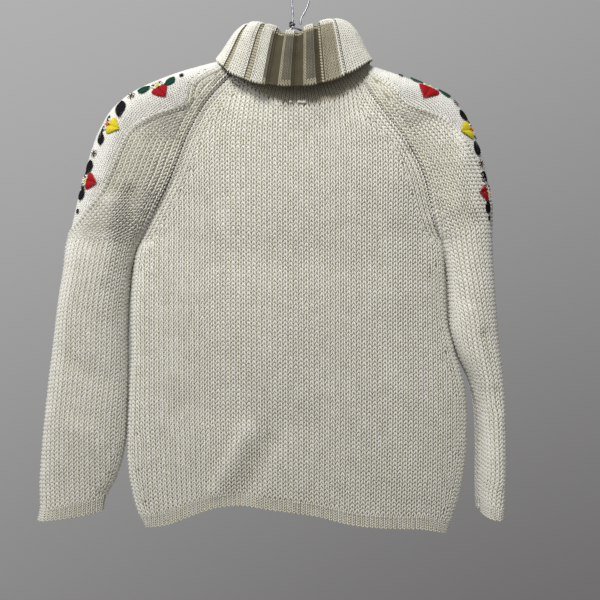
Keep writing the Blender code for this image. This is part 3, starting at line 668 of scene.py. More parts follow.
# Stitches: one leg and one purl bump, across and up in shares of a stitch, with the height of
# the yarn and half its width

LEG = table(
    "t u h half",
    (0.00, -0.66, 0.1, 0.00),
    (-0.14, -0.36, 1.05, 0.155),
    (-0.285, 0.04, 1.15, 0.185),
    (-0.35, 0.44, 0.85, 0.155),
    (-0.34, 0.84, -0.4, 0.00),
)
BUMP = table(
    "t u h half",
    (-0.62, 0.05, -0.3, 0.00),
    (-0.30, 0.16, 0.75, 0.20),
    (0.00, 0.20, 0.95, 0.24),
    (0.30, 0.16, 0.75, 0.20),
    (0.62, 0.05, -0.3, 0.00),
)


def unit(vectors):
    """These vectors at a length of one."""
    return vectors / np.maximum(np.linalg.norm(vectors, axis=-1, keepdims=True), 1e-9)


def lozenge(form, mirror):
    """One bit of yarn: 11 points as (t, u, h, v, w), with v along it and w across it, and its
    triangles. The two ends are single points and the rows between have three points each."""
    t, u = mirror * form["t"], form["u"]
    along = unit(np.stack([np.gradient(t), np.gradient(u)], axis=-1))
    points = [(t[0], u[0], form["h"][0], 0.0, 0.5)]
    for i in range(1, 4):
        side = np.array([along[i, 1], -along[i, 0]]) * form["half"][i]
        for across, height in ((-1, -0.1), (0, form["h"][i]), (1, -0.1)):
            place = t[i] + across * side[0], u[i] + across * side[1]
            points.append((*place, height, i / 4, 0.5 + across / 2))
    points.append((t[4], u[4], form["h"][4], 1.0, 0.5))
    faces = [(0, 2, 1), (0, 3, 2), (7, 8, 10), (8, 9, 10)]
    for row in (1, 4):
        for k in (row, row + 1):
            faces += [(k, k + 1, k + 4), (k, k + 4, k + 3)]
    return np.array(points), np.array(faces)


def yarn_mesh(name, pieces, finish):
    """One mesh of many bits of yarn. pieces are (points, uv, tint, triangles) groups."""
    points, uvs, tints, faces = zip(*pieces)
    offsets = np.cumsum([0] + [len(group) for group in points[:-1]])
    faces = [group + offset for group, offset in zip(faces, offsets)]
    points, uvs, tints, faces = (np.concatenate(x) for x in (points, uvs, tints, faces))
    mesh = bpy.data.meshes.new(name)
    mesh.vertices.add(len(points))
    mesh.vertices.foreach_set("co", (points * MM).ravel())
    mesh.loops.add(faces.size)
    mesh.loops.foreach_set("vertex_index", faces.ravel().astype(np.int32))
    mesh.polygons.add(len(faces))
    mesh.polygons.foreach_set("loop_start", np.arange(0, faces.size, 3, dtype=np.int32))
    mesh.update(calc_edges=True)
    mesh.uv_layers.new(name="yarn").data.foreach_set("uv", uvs[faces.ravel()].ravel())
    mesh.attributes.new("tint", "FLOAT", "POINT").data.foreach_set("value", tints)
    mesh.shade_smooth()
    print(name, len(faces), "triangles")
    return put(name, mesh, finish)


def bits(form, mirror, place, across, up, out, height):
    """Many lozenges at these places. across and up are the sizes of a stitch as vectors."""
    unit_points, triangles = lozenge(form, mirror)
    count, size = len(place), len(unit_points)
    t, u, h = unit_points[:, 0], unit_points[:, 1], unit_points[:, 2]
    points = place[:, None, :] + across[:, None, :] * t[None, :, None]
    points = points + up[:, None, :] * u[None, :, None]
    points = points + out[:, None, :] * (h[None, :] * height[:, None])[..., None]
    if mirror < 0:
        triangles = triangles[:, ::-1]
    faces = (triangles[None] + (np.arange(count) * size)[:, None, None]).reshape(-1, 3)
    uv = np.tile(unit_points[:, 3:5], (count, 1))
    uv[:, 0] += np.repeat(RANDOM.random(count), size)
    tint = np.repeat(RANDOM.random(count), size)
    return points.reshape(-1, 3), uv, tint, faces


WOBBLE = 0.025
HEIGHT_WOBBLE = 1.6 * WOBBLE


def stitches(place, across, up, out, height):
    """Plain stitches: each is two legs that part upwards."""
    count = len(place)
    turn = RANDOM.normal(0, WOBBLE, count)[:, None]
    size = 1 + RANDOM.normal(0, WOBBLE, (2, count, 1))
    across, up = across * size[0] + up * turn * 0.5, up * size[1] - across * turn
    place = place + across * RANDOM.normal(0, WOBBLE * 0.6, (count, 1))
    height = height * (1 + RANDOM.normal(0, HEIGHT_WOBBLE, count))
    return [bits(LEG, mirror, place, across, up, out, height) for mirror in (1, -1)]


def purls(place, across, up, out, height):
    """Purl stitches: each shows one bump that lies across."""
    height = height * (1 + RANDOM.normal(0, HEIGHT_WOBBLE, len(place)))
    return [bits(BUMP, 1, place, across, up, out, height)]


# How finely a piece is measured: along a column, across a row and up a wale
COLUMN_SAMPLES, ROW_SAMPLES, WALE_SAMPLES = 1200, 160, 220


def course_levels(point, middle, start, end, course):
    """Levels that are one course apart along the column `middle`."""
    fine = np.linspace(start, end, COLUMN_SAMPLES)
    length = path_length(point(middle(fine), fine))
    count = int(round(length[-1] / course))
    return np.interp((np.arange(count) + 0.5) / count * length[-1], length, fine)


def wales(point, levels, start, end, width, edge):
    """Where each wale crosses each level, from start(level) to end(level). Whole wales are
    counted from the start, `edge` wales follow the end, and the last whole wale leans to the
    middle of its neighbours. Gives column values, a row for each level, nan where it ends, and
    how wide each wale is there."""
    lengths, columns = [], []
    for level in levels:
        a = np.linspace(start(level), end(level), ROW_SAMPLES)
        lengths.append(path_length(point(a, np.full(ROW_SAMPLES, level))))
        columns.append(a)
    total = np.array([length[-1] for length in lengths])[:, None]
    count = int(total.max() / width) + 1
    inner = np.broadcast_to((np.arange(count) + 0.5) * width, (len(levels), count))
    known = inner <= total - max(edge, 0.45) * width
    outer = total - (np.arange(edge) + 0.5) * width
    last = known & ~np.roll(known, -1, axis=1)
    lean = np.where(last, (total - (max(edge, 1) - 0.5) * width - inner - width) / 2, 0.0)
    kernel = np.ones(7) / 7
    lean = np.array([np.convolve(np.pad(x, 3, mode="edge"), kernel, "valid") for x in lean.T]).T
    at = np.concatenate([np.where(known, inner + lean, np.nan),
                         np.where(outer > 0.3 * width, outer, np.nan)], axis=1)
    found = np.array([np.interp(s, length, a) for s, length, a in zip(at, lengths, columns)])
    found[np.isnan(at)] = np.nan
    return found, wale_widths(at, width)


def wale_widths(at, width):
    """Half the distance between each wale's neighbours, and not far from a whole wale."""
    order = np.argsort(at, axis=1)
    placed = np.take_along_axis(at, order, axis=1)
    first = placed[:, :1] - width
    before = np.concatenate([first, placed[:, :-1]], axis=1)
    after = np.concatenate([placed[:, 1:], np.full_like(first, np.nan)], axis=1)
    after = np.where(np.isnan(after), placed + width, after)
    widths = np.empty_like(at)
    np.put_along_axis(widths, order, (after - before) / 2, axis=1)
    return np.clip(widths, 0.75 * width, 1.4 * width)


def runs_of(known):
    """Start and end of each run of True that is at least four long."""
    edges = np.flatnonzero(np.diff(np.concatenate([[0], known.astype(int), [0]])))
    return [(i, j) for i, j in zip(edges[::2], edges[1::2]) if j - i >= 4]


def wale_run(point, column, levels, widths, run, guide, course):
    """Stitches a course apart up one run of a wale: their columns, levels, ways up and widths.
    All wales keep in step with the guide, the length up the first one."""
    i, j = run
    line = point(column[i:j], levels[i:j])
    length = path_length(line)
    first = (np.ceil(guide[i] / course) + 0.5) * course - guide[i]
    if first > (0.6 if i else 1.2) * course:
        first -= course
    left_over = 0.2 if j == len(levels) else 0.0
    at = np.arange(first, length[-1] + 0.5 * course, course)
    at = np.clip(at, 0, length[-1] - left_over * course)
    slope = np.gradient(line, length, axis=0)
    up = np.stack([np.interp(at, length, s) for s in slope.T], axis=-1)
    a, b, wide = (np.interp(at, length, values[i:j]) for values in (column, levels, widths))
    return a, b, up, wide


def knit(point, start, end, span, facing, gauge, edge, rope=None):
    """Stitches one after another up each wale between the two levels of span: where they are,
    their sizes across and up as vectors, which way is out, and how high the yarn stands. rope
    gives the levels at which the wales narrow to high ropes, the first one the most."""
    width, course, height = gauge
    levels = np.linspace(*span, WALE_SAMPLES)
    columns, widths = wales(point, levels, start, end, width, edge)
    guide = path_length(point(columns[:, :1], levels[:, None])[:, 0])
    runs, heights = [], []
    for k, column in enumerate(columns.T):
        first_rope = rope is not None and k == 0
        ridge = first_rope or (edge and k == columns.shape[1] - edge)
        for run in runs_of(~np.isnan(column)):
            runs.append(wale_run(point, column, levels, widths[:, k], run, guide, course))
            heights.append(np.full(len(runs[-1][0]), height * (RIDGE if ridge else 1)))
    a, b, up, wide = (np.concatenate(x) for x in zip(*runs))
    heights = np.concatenate(heights)
    out = facing * normals(point, a, b)
    if rope is not None:
        share = ramp(b, *rope)
        heights = heights * mix(1.0, ROPE_RISE, share)
        wide = wide * mix(1.0, ROPE_WIDTH, share)
    up = unit(up) * course
    across = unit(np.cross(up, out)) * wide[:, None]
    return point(a, b) - out * SINK, across, up, out, heights


def knit_halves(point, halves, span, facing, gauge, edge=0, rope=None):
    """Stitches over both halves of a piece, each from one column to another."""
    found = []
    for start, end in halves:
        found += stitches(*knit(point, start, end, span, facing, gauge, edge, rope))
    return found


def fixed(column):
    """The same column value at every level."""
    return lambda level: column + np.zeros(np.shape(level))


def knit_rows(point, columns, levels, facing, width, height, raised=None, use=True):
    """Stitches at every crossing of fixed columns and levels, sized by their neighbours."""
    rows = np.broadcast_to(np.asarray(levels)[:, None], columns.shape)
    place = point(columns, rows)
    out = facing * normals(point, columns, rows)
    if raised is not None:
        place = place + out * raised(columns, rows)[..., None]
    step = np.gradient(place, axis=0)
    across = unit(np.cross(step, out)) * width[..., None]
    use = np.broadcast_to(use, columns.shape)
    return (place - out * SINK)[use], across[use], step[use], out[use], np.full(use.sum(), height)


# Yarn and thread materials

def new_node(tree, kind, **values):
    """A node with these input values, whose names have _ for each space."""
    made = tree.nodes.new("ShaderNode" + kind)
    for name, value in values.items():
        made.inputs[name.replace("_", " ")].default_value = value
    return made


def shader_of(name):
    """A new material, its nodes and its shader."""
    made = bpy.data.materials.new(name)
    made.use_nodes = True
    return made, made.node_tree, made.node_tree.nodes["Principled BSDF"]


def cloth_material(name, colour, roughness, sheen):
    made, tree, shader = shader_of(name)
    shader.inputs["Base Color"].default_value = (*colour, 1)
    shader.inputs["Roughness"].default_value = roughness
    shader.inputs["Sheen Weight"].default_value = sheen
    shader.inputs["Sheen Roughness"].default_value = 0.45
    shader.inputs["Specular IOR Level"].default_value = 0.25
    return made, tree, shader


def object_place(tree):
    return new_node(tree, "TexCoord").outputs["Object"]


def noise(tree, vector, scale, detail=2.0, rough=0.5):
    made = new_node(tree, "TexNoise", Scale=scale, Detail=detail, Roughness=rough)
    tree.links.new(vector, made.inputs["Vector"])
    return made.outputs["Fac"]


def ramp_of(tree, factor, low, high, dark, light):
    """A colour that goes from dark at low to light at high."""
    made = new_node(tree, "ValToRGB")
    for stop, position, colour in zip(made.color_ramp.elements, (low, high), (dark, light)):
        stop.position = position
        stop.color = (*colour, 1)
    tree.links.new(factor, made.inputs["Fac"])
    return made.outputs["Color"]


def multiply(tree, first, second, share):
    """The first colour, darkened by this share of the second one."""
    made = new_node(tree, "Mix")
    made.data_type = "RGBA"
    made.blend_type = "MULTIPLY"
    made.inputs[0].default_value = share
    tree.links.new(first, made.inputs[6])
    tree.links.new(second, made.inputs[7])
    return made.outputs[2]


def bump(tree, shader, height, strength, distance):
    """Lifts the surface by this height, on top of any bump that it has."""
    made = new_node(tree, "Bump", Strength=strength, Distance=distance)
    tree.links.new(height, made.inputs["Height"])
    previous = shader.inputs["Normal"].links
    if previous:
        tree.links.new(previous[0].from_socket, made.inputs["Normal"])
    tree.links.new(made.outputs["Normal"], shader.inputs["Normal"])


def yarn_material(name, dark, light, twist=True, sheen=0.35):
    """Spun yarn: soft uneven colour, a twist along each bit and a fine nap."""
    made, tree, shader = cloth_material(name, light, 0.9, sheen)
    place = object_place(tree)
    colour = ramp_of(tree, noise(tree, place, 55, 3), 0.3, 0.7, dark, light)
    shade = ramp_of(tree, noise(tree, place, 900, 2), 0.25, 0.6, (0.86, 0.86, 0.84), (1, 1, 1))
    colour = multiply(tree, colour, shade, 0.7)
    if twist:
        tint = new_node(tree, "Attribute")
        tint.attribute_name = "tint"
        soft = ramp_of(tree, tint.outputs["Fac"], 0.0, 1.0, (0.94, 0.935, 0.91), (1, 1, 1))
        colour = multiply(tree, colour, soft, 0.8)
        bump(tree, shader, twist_wave(tree), 0.5, 0.0004)
    tree.links.new(colour, shader.inputs["Base Color"])
    bump(tree, shader, noise(tree, place, 1600, 3, 0.7), 0.5, 0.0004)
    return made


def twist_wave(tree):
    """Slanting waves along each bit of yarn, from its own coordinates."""
    uv = new_node(tree, "UVMap")
    uv.uv_map = "yarn"
    turn = new_node(tree, "Mapping", Scale=(1.0, 0.42, 1.0), Rotation=(0, 0, 0.6))
    tree.links.new(uv.outputs["UV"], turn.inputs["Vector"])
    wave = new_node(tree, "TexWave", Scale=1.6, Distortion=0.8)
    tree.links.new(turn.outputs["Vector"], wave.inputs["Vector"])
    return wave.outputs["Fac"]


def thread_material(name, colour):
    """Embroidery thread: smoother than the yarn, with a silky sheen."""
    made, tree, shader = cloth_material(name, colour, 0.6, 0.03)
    shader.inputs["Specular IOR Level"].default_value = 0.12
    place = object_place(tree)
    dark = tuple(0.7 * c for c in colour)
    shade = ramp_of(tree, noise(tree, place, 700, 2), 0.25, 0.65, dark, colour)
    tree.links.new(shade, shader.inputs["Base Color"])
    bump(tree, shader, noise(tree, place, 2200, 2), 0.35, 0.0003)
    return made


def steel_material():
    """Smooth dark wire with slightly uneven colour and shine."""
    made, tree, shader = shader_of("hanger_steel")
    shader.inputs["Metallic"].default_value = 1.0
    place = object_place(tree)
    dark, light = (0.15, 0.16, 0.18), (0.30, 0.31, 0.34)
    colour = ramp_of(tree, noise(tree, place, 300, 3), 0.35, 0.7, dark, light)
    tree.links.new(colour, shader.inputs["Base Color"])
    rough = new_node(tree, "MapRange", To_Min=0.25, To_Max=0.42)
    tree.links.new(noise(tree, place, 900, 2), rough.inputs["Value"])
    tree.links.new(rough.outputs["Result"], shader.inputs["Roughness"])
    bump(tree, shader, noise(tree, place, 1500, 2), 0.15, 0.0002)
    return made


# Yarns, each from its dark to its light colour. The first four are the cream yarn darkened with
# painted shade. The grounds under the stitches have no twist.
# Painted deep shade: near black brown on the purls in the collar's grooves at the centre back and
# on the collar's whole ground
DEEP_SHADE_PURL_YARN = yarn_material("collar_purl_painted_deep_shade", (0.066, 0.056, 0.033), (0.092, 0.08, 0.048), sheen=0.05)
# Painted shade: dark grey brown on the narrow open ribs at the collar's centre back
SHADE_RIB_YARN = yarn_material("collar_open_rib_painted_shade", (0.175, 0.165, 0.13), (0.23, 0.215, 0.175), sheen=0.1)
# Painted shade: a warmer, darker cream on the neck band, which lies in the collar's shadow
SHADED_BAND_YARN = yarn_material("neck_band_yarn_painted_shade", (0.78, 0.73, 0.60), (0.85, 0.81, 0.69))
# Painted half shade: mid brown on the collar's other purls and on the ribs beside the open ones,
# and on the grounds between the hem's and the cuffs' ribs
HALF_SHADE_YARN = yarn_material("collar_side_painted_half_shade", (0.40, 0.37, 0.27), (0.48, 0.45, 0.34), sheen=0.1)
KNIT = yarn_material("cream_knit_yarn", (0.825, 0.81, 0.735), (0.885, 0.875, 0.815))
FINE = yarn_material("fine_knit_yarn", (0.87, 0.865, 0.82), (0.91, 0.905, 0.87))


def ground_material(name, dark, light):
    return yarn_material(name, dark, light, twist=False, sheen=0.1)


# The grounds' dark colours are painted shade in the gaps between the stitches
SHADE_GROUND = ground_material("cream_knit_ground_painted_shade", (0.21, 0.195, 0.13), (0.28, 0.265, 0.18))
SLEEVE_SHADE_GROUND = ground_material("sleeve_ground", (0.30, 0.285, 0.20), (0.38, 0.36, 0.26))
FINE_SHADE_GROUND = ground_material("fine_knit_ground_painted_shade", (0.10, 0.095, 0.07), (0.15, 0.145, 0.11))
STEEL = steel_material()

# Gauges: width of a wale, height of a course, and how high the yarn stands

BODY_GAUGE = 6.9, 5.6, 1.45
SLEEVE_GAUGE = 6.9, 5.6, 1.5
ROPE_LEVELS = 0.98, 1.18
ROPE_RISE, ROPE_WIDTH = 1.6, 0.85
RIDGE = 1.6
TIP_END_LEVEL, TIP_LEAST_WIDTH = 0.7, 1.5
STRIP_GAUGE = 4.0, 3.3, 1.05
RIB_GAUGE = 6.2, 3.4, 1.15
ALL_LEVELS = -1.0, -0.9
COLLAR_WALES_A_RIB = 8
COLLAR_COURSE = 3.9
MIDDLE_X = -5.0
RAGLAN_EDGE = 3
SEAM_WIDTH, SEAM_LIFT, SEAM_COURSE = 5.6, 0.6, 3.4
SEAM_SPAN = 1.02, 1.97
PANEL_COLUMNS, BAND_ROWS = 65, 5
BODY_SPAN, STRIP_SPAN = (0.0, 2.0), (1.055, 2.0)
HEM_SPAN, CUFF_SPAN = (HEM_BOTTOM, -BAND_SEAM_LEVEL), (CUFF_BOTTOM, -BAND_SEAM_LEVEL)
# A shell has this many columns for each one of the solid's
SLEEVE_FINER, STRIP_FINER = 3, 4


def panel_middle(side):
    """The column value of a panel's middle wale at each level."""
    table_levels = np.linspace(HEM_BOTTOM, 2, 120)
    across = np.linspace(0, 1, 400)
    found = []
    for level in table_levels:
        x = panel_point(side, across, np.full(len(across), level))[:, 0]
        found.append(np.interp(MIDDLE_X, x, across))
    return lambda level: np.interp(level, table_levels, found)


def seam_bars(point, facing):
    """Short bars of yarn across the raglan seams, lower than the wales beside them."""
    found = []
    for end in (0.0, 1.0):
        levels = course_levels(point, fixed(end), *SEAM_SPAN, SEAM_COURSE)
        columns = np.full((len(levels), 1), end)
        wide = np.full((len(levels), 1), SEAM_WIDTH)
        place, across, up, out, height = knit_rows(point, columns, levels, facing, wide, 0.9)
        found += purls(place + out * SEAM_LIFT, across, up * 0.9, out, height)
    return found


def make_panels():
    for side, name in ((BACK, "back"), (FRONT, "front")):
        def point(across, level, side=side):
            return panel_point(side, across, level)

        middle = panel_middle(side)
        halves = [(middle, fixed(0.0)), (middle, fixed(1.0))]
        facing = -side
        across = np.linspace(0, 1, PANEL_COLUMNS)
        levels = np.unique(np.concatenate([np.linspace(0, 1, 50), np.linspace(1, 2, 50)]))
        neck = panel_degrees(side, across)
        base = shell(name, point, *grid(across, levels), facing, PANEL_WALL, SHADE_GROUND, neck=neck)
        pieces = knit_halves(point, halves, BODY_SPAN, facing, BODY_GAUGE, RAGLAN_EDGE)
        pieces += seam_bars(point, facing)
        loops = yarn_mesh(name + "_stitches", pieces, KNIT)

        hem_levels = np.linspace(*HEM_SPAN, BAND_ROWS)
        hem = shell("hem_" + name, point, *grid(across, hem_levels), facing, BAND_WALL, HALF_SHADE_YARN)
        pieces = knit_halves(point, halves, HEM_SPAN, facing, RIB_GAUGE, rope=ALL_LEVELS)
        ribs = yarn_mesh("hem_" + name + "_stitches", pieces, KNIT)


def sleeve_edges(side):
    """The column values where the strip ends, at the back and the front. Below its tip they
    close in on the sleeve's outer edge."""
    def back(level):
        return -strip_edge(side, "back", np.maximum(level, NOTCH_LEVEL)) * tip_share(level)

    def front(level):
        return strip_edge(side, "front", np.maximum(level, NOTCH_LEVEL)) * tip_share(level)

    return back, front


def tip_share(level):
    """0 where the strip's tip wale ends, and 1 from the notch up."""
    return ramp(np.asarray(level, float), TIP_END_LEVEL, NOTCH_LEVEL)


def tip_wale(point, side):
    """The single wale that starts at the strip's tip and narrows down the sleeve's outer edge."""
    levels = course_levels(point, fixed(0.0), TIP_END_LEVEL, NOTCH_LEVEL, BODY_GAUGE[1])
    edges = [np.array([edge(level) for level in levels]) for edge in sleeve_edges(side)]
    gap = np.linalg.norm(point(edges[1], levels) - point(edges[0], levels), axis=-1)
    wide = gap > TIP_LEAST_WIDTH
    columns = np.zeros((wide.sum(), 1))
    return knit_rows(point, columns, levels[wide], side, gap[wide][:, None] * 1.1, BODY_GAUGE[2])


def sleeve_cloth(side, name, point):
    """The sleeve with its notch, and its stitches."""
    levels = np.concatenate([np.linspace(0, 1, 56)[:-1], [1.0, 1.025, NOTCH_LEVEL],
                             np.linspace(NOTCH_LEVEL, 2, 46)[1:]])
    around = finer(sleeve_around(side, levels, HALF_NOTCH_GAP), SLEEVE_FINER)
    rows = np.broadcast_to(levels[:, None], around.shape)
    keep = np.ones((len(levels) - 1, around.shape[1] - 1), bool)
    notch = SLEEVE_HALF_COLUMNS * SLEEVE_FINER
    keep[levels[1:] > NOTCH_LEVEL, notch:notch + SLEEVE_FINER] = False
    neck = sleeve_degrees(side, around[-1])
    base = shell("sleeve_" + name, point, around, rows, side, PANEL_WALL, SLEEVE_SHADE_GROUND,
                 keep=keep, neck=neck)
    back, front = sleeve_edges(side)
    halves = [(back, fixed(-1.0)), (front, fixed(1.0))]
    pieces = stitches(*tip_wale(point, side))
    pieces += knit_halves(point, halves, BODY_SPAN, side, SLEEVE_GAUGE, 2, ROPE_LEVELS)
    return base, yarn_mesh("sleeve_" + name + "_stitches", pieces, KNIT)


def cuff_cloth(side, name, point):
    """The band at the wrist, and its ribs."""
    levels = np.linspace(*CUFF_SPAN, BAND_ROWS)
    around = finer(sleeve_around(side, levels, 0.0), SLEEVE_FINER)
    rows = np.broadcast_to(levels[:, None], around.shape)
    cuff = shell("cuff_" + name, point, around, rows, side, BAND_WALL, HALF_SHADE_YARN)
    halves = [(fixed(0.0), fixed(-1.0)), (fixed(0.0), fixed(1.0))]
    pieces = knit_halves(point, halves, CUFF_SPAN, side, RIB_GAUGE, rope=ALL_LEVELS)
    return cuff, yarn_mesh("cuff_" + name + "_stitches", pieces, KNIT)


def strip_cloth(side, name, point):
    """The fine strip in the sleeve's notch, and its stitches."""
    levels = np.concatenate([[STRIP_TIP_LEVEL], np.linspace(NOTCH_LEVEL, 2, 46)[1:]])
    around = finer(strip_around(side, levels), STRIP_FINER)
    rows = np.broadcast_to(levels[:, None], around.shape)
    neck = sleeve_degrees(side, around[-1])
    strip = shell("strip_" + name, point, around, rows, side, STRIP_WALL, FINE_SHADE_GROUND,
                  "fine_knit", neck=neck)
    halves = [(fixed(0.0), edge) for edge in sleeve_edges(side)]
    pieces = knit_halves(point, halves, STRIP_SPAN, side, STRIP_GAUGE, 1)
    return strip, yarn_mesh("strip_" + name + "_stitches", pieces, FINE)


def make_sleeve(side, name):
    def point(around, level):
        return sleeve_point(side, around, level)

    base, loops = sleeve_cloth(side, name, point)
    cuff, ribs = cuff_cloth(side, name, point)
    strip, fine = strip_cloth(side, name, point)


def finer(columns, times):
    """The same columns with times - 1 more between each two."""
    count = columns.shape[1]
    at = np.linspace(0, count - 1, (count - 1) * times + 1)
    return np.array([np.interp(at, np.arange(count), row) for row in columns])


# Neck band and collar

GROOVE_DEPTH = 1.9
RIB_SHIFT = 0.125
RIB_HANG = 3.2
# Angles around the neck where each zone rises and falls: the open ribs at the centre back,
# narrower and in painted shade, the half open part beside them, in painted half shade, and the
# smooth side
OPEN_BACK = 243, 249, 288, 294
HALF_OPEN = 288, 294, 303, 309
SMOOTH_SIDE = 309, 314, 338, 348
OPEN_ROW, OPEN_EDGE_ROW, COLLAR_END_ROW, LAST_ROW = 5.2, 8.6, 8.97, 9.0
PURL_LENGTH, PURL_HEIGHT = 1.9, 0.8
CENTRE_BACK, COLLAR_MIDDLE = 270.0, 272.0
COLLAR_YARN_HEIGHT, BAND_YARN_HEIGHT = 1.25, 1.7
BAND_SPAN = 0.03, 1.0
BAND_RIBS = 104
BAND_COURSE = 3.2


def band_angles(count):
    """Angles around the neck at equal steps of the neckline."""
    steps = np.linspace(180, 540, 1441)
    length = path_length(np.stack(neckline(steps), axis=-1))
    return np.interp(np.arange(count) / count * length[-1], length, steps)


def rib_profile(degrees):
    """0 in a collar's groove and 1 on its rib, with soft steps between."""
    turns = loop_turns(degrees) * COLLAR_RIBS
    wave = 0.5 - 0.5 * np.cos(2 * np.pi * (turns - RIB_SHIFT))
    lift = mix(0.4, 0.05, open_rib(degrees)) + 0.8 * between(degrees, SMOOTH_SIDE)
    return ramp(wave + lift, 0.05, 0.95)


def between(degrees, bounds):
    """1 between the middle two of these angles and 0 outside the outer two."""
    turned = np.asarray(degrees, float) % 360
    return ramp(turned, *bounds[:2]) * (1 - ramp(turned, *bounds[2:]))


def open_rib(degrees):
    """1 where the collar is stretched and its grooves open wide, at the centre back."""
    return between(degrees, OPEN_BACK)


LOOP_COUNT = 512
LOOP_TABLE = loop_angles(LOOP_COUNT)


def loop_turns(degrees):
    """The share of the collar's loop, from the centre back, at these angles."""
    turned = 270 + (degrees - 270) % 360
    return np.interp(turned, LOOP_TABLE, np.arange(LOOP_COUNT + 1) / LOOP_COUNT)


def collar_raise(degrees, row):
    """How far the collar's ribs stand out, and below 0 how deep its grooves lie."""
    share = smooth(COLLAR["row"], RIB_SHARE, row)
    return share * mix(-GROOVE_DEPTH, RIB_HEIGHT + 0.5, rib_profile(degrees))


def collar_shown(degrees, row):
    """The collar with its ribs, which hang a little lower than its grooves at the edge."""
    place = collar_point(degrees, row)
    place[..., 2] -= RIB_HANG * rib_profile(degrees) * ramp(row, 6.5, LAST_ROW)
    return place


def make_neck_band():
    angles = np.append(band_angles(180), band_angles(180)[0] + 360)
    heights = np.linspace(NECK_SEAM_HEIGHT, 1, 7)
    base = shell("neck_band", band_point, *grid(angles, heights), 1, BAND_WALL, SHADE_GROUND)
    heights = course_levels(band_point, fixed(CENTRE_BACK), *BAND_SPAN, BAND_COURSE)
    columns = np.broadcast_to(band_angles(BAND_RIBS), (len(heights), BAND_RIBS))
    spacing = column_spacing(band_point, columns, heights)
    made = knit_rows(band_point, columns, heights, 1, spacing * ROPE_WIDTH, BAND_YARN_HEIGHT)
    loops = yarn_mesh("neck_band_stitches", stitches(*made), SHADED_BAND_YARN)


def collar_uses(centres, rows):
    """Which of the collar's stitches each yarn has: the plain ribs, the open ribs at the centre
    back in painted shade, their edges and the ribs beside them in lighter painted half shade, and
    two kinds of purl groove, in painted deep shade at the centre back and in painted half shade
    elsewhere."""
    groove = np.broadcast_to(rib_profile(centres) < 0.4, (len(rows), len(centres)))
    below = rows[:, None] > OPEN_ROW
    edge_rows = (rows[:, None] < OPEN_ROW + 0.5) | (rows[:, None] > OPEN_EDGE_ROW)
    dark = (open_rib(centres) > 0.5) & below
    half = (between(centres, HALF_OPEN) > 0.5) & below
    half = half | (dark & ~groove & (np.roll(groove, 1, axis=1) | edge_rows))
    dark = dark & ~(half & ~groove)
    return {"plain": ~groove & ~dark & ~half, "open": ~groove & dark, "half": ~groove & half,
            "side": groove & ~dark, "hollow": groove & dark}


def make_collar():
    degrees = np.append(loop_angles(256)[:-1], 630.0)
    a, b = grid(degrees, np.linspace(0, LAST_ROW, 64))
    # The collar's ground is in painted deep shade
    base = shell("collar", collar_shown, a, b, -1, COLLAR_WALL, DEEP_SHADE_PURL_YARN, raised=collar_raise(a, b))
    rows = course_levels(collar_shown, fixed(COLLAR_MIDDLE), 0.6, COLLAR_END_ROW, COLLAR_COURSE)
    count = COLLAR_RIBS * COLLAR_WALES_A_RIB
    at = (np.arange(count) + 0.5) / count * LOOP_COUNT
    centres = np.interp(at, np.arange(LOOP_COUNT + 1), LOOP_TABLE)
    columns = np.broadcast_to(centres, (len(rows), count))
    spacing = column_spacing(collar_shown, columns, rows)
    made = {}
    for part, use in collar_uses(centres, rows).items():
        made[part] = knit_rows(collar_shown, columns, rows, -1, spacing, COLLAR_YARN_HEIGHT,
                               collar_raise, use)
        if part in ("side", "hollow"):
            place, across, up, out, height = made[part]
            made[part] = place, across, up * PURL_LENGTH, out, height * PURL_HEIGHT
    loops = yarn_mesh("collar_stitches", stitches(*made["plain"]), KNIT)
    ribs = yarn_mesh("collar_open_ribs", stitches(*made["open"]), SHADE_RIB_YARN)
    hollows = yarn_mesh("collar_purls", purls(*made["hollow"]), DEEP_SHADE_PURL_YARN)
    sides = stitches(*made["half"]) + purls(*made["side"])
    sides = yarn_mesh("collar_side_purls", sides, HALF_SHADE_YARN)


def column_spacing(point, columns, rows):
    """The distance from each place to the next in its row, around a closed loop."""
    levels = np.broadcast_to(np.asarray(rows)[:, None], columns.shape)
    place = point(columns, levels)
    after = np.roll(place, -1, axis=1) - place
    before = place - np.roll(place, 1, axis=1)
    return (np.linalg.norm(after, axis=-1) + np.linalg.norm(before, axis=-1)) / 2


# Embroidery, on both shoulders along the top line

THREAD = 0.95
LEAF_WIDTH = 0.64
# The red flowers nearer to the neck than this have no buds
BUDS_FROM = 200
# How high threads lie over the cloth at their ends, and how much higher in the middle
PETAL_LIFT, LEAF_LIFT, SMALL_LIFT, BUD_LIFT = (1.5, 1.2), (1.7, 1.5), (1.7, 0.7), (1.2, 0.6)
# Knots: radius and height
RING_KNOT, MIDDLE_KNOT, TOP_KNOT, BUD_KNOT = (1.9, 3.2), (1.7, 3.6), (1.7, 4.4), (1.7, 2.6)
COLOURS = {
    "red": (0.40, 0.004, 0.010),
    "yellow": (0.74, 0.62, 0.02),
    "green": (0.004, 0.068, 0.034),
    "navy": (0.003, 0.003, 0.005),
    "orange": (0.70, 0.22, 0.03),
    "brown": (0.085, 0.045, 0.022),
    "pale": (0.86, 0.76, 0.26),
    "white": (0.88, 0.86, 0.78),
}

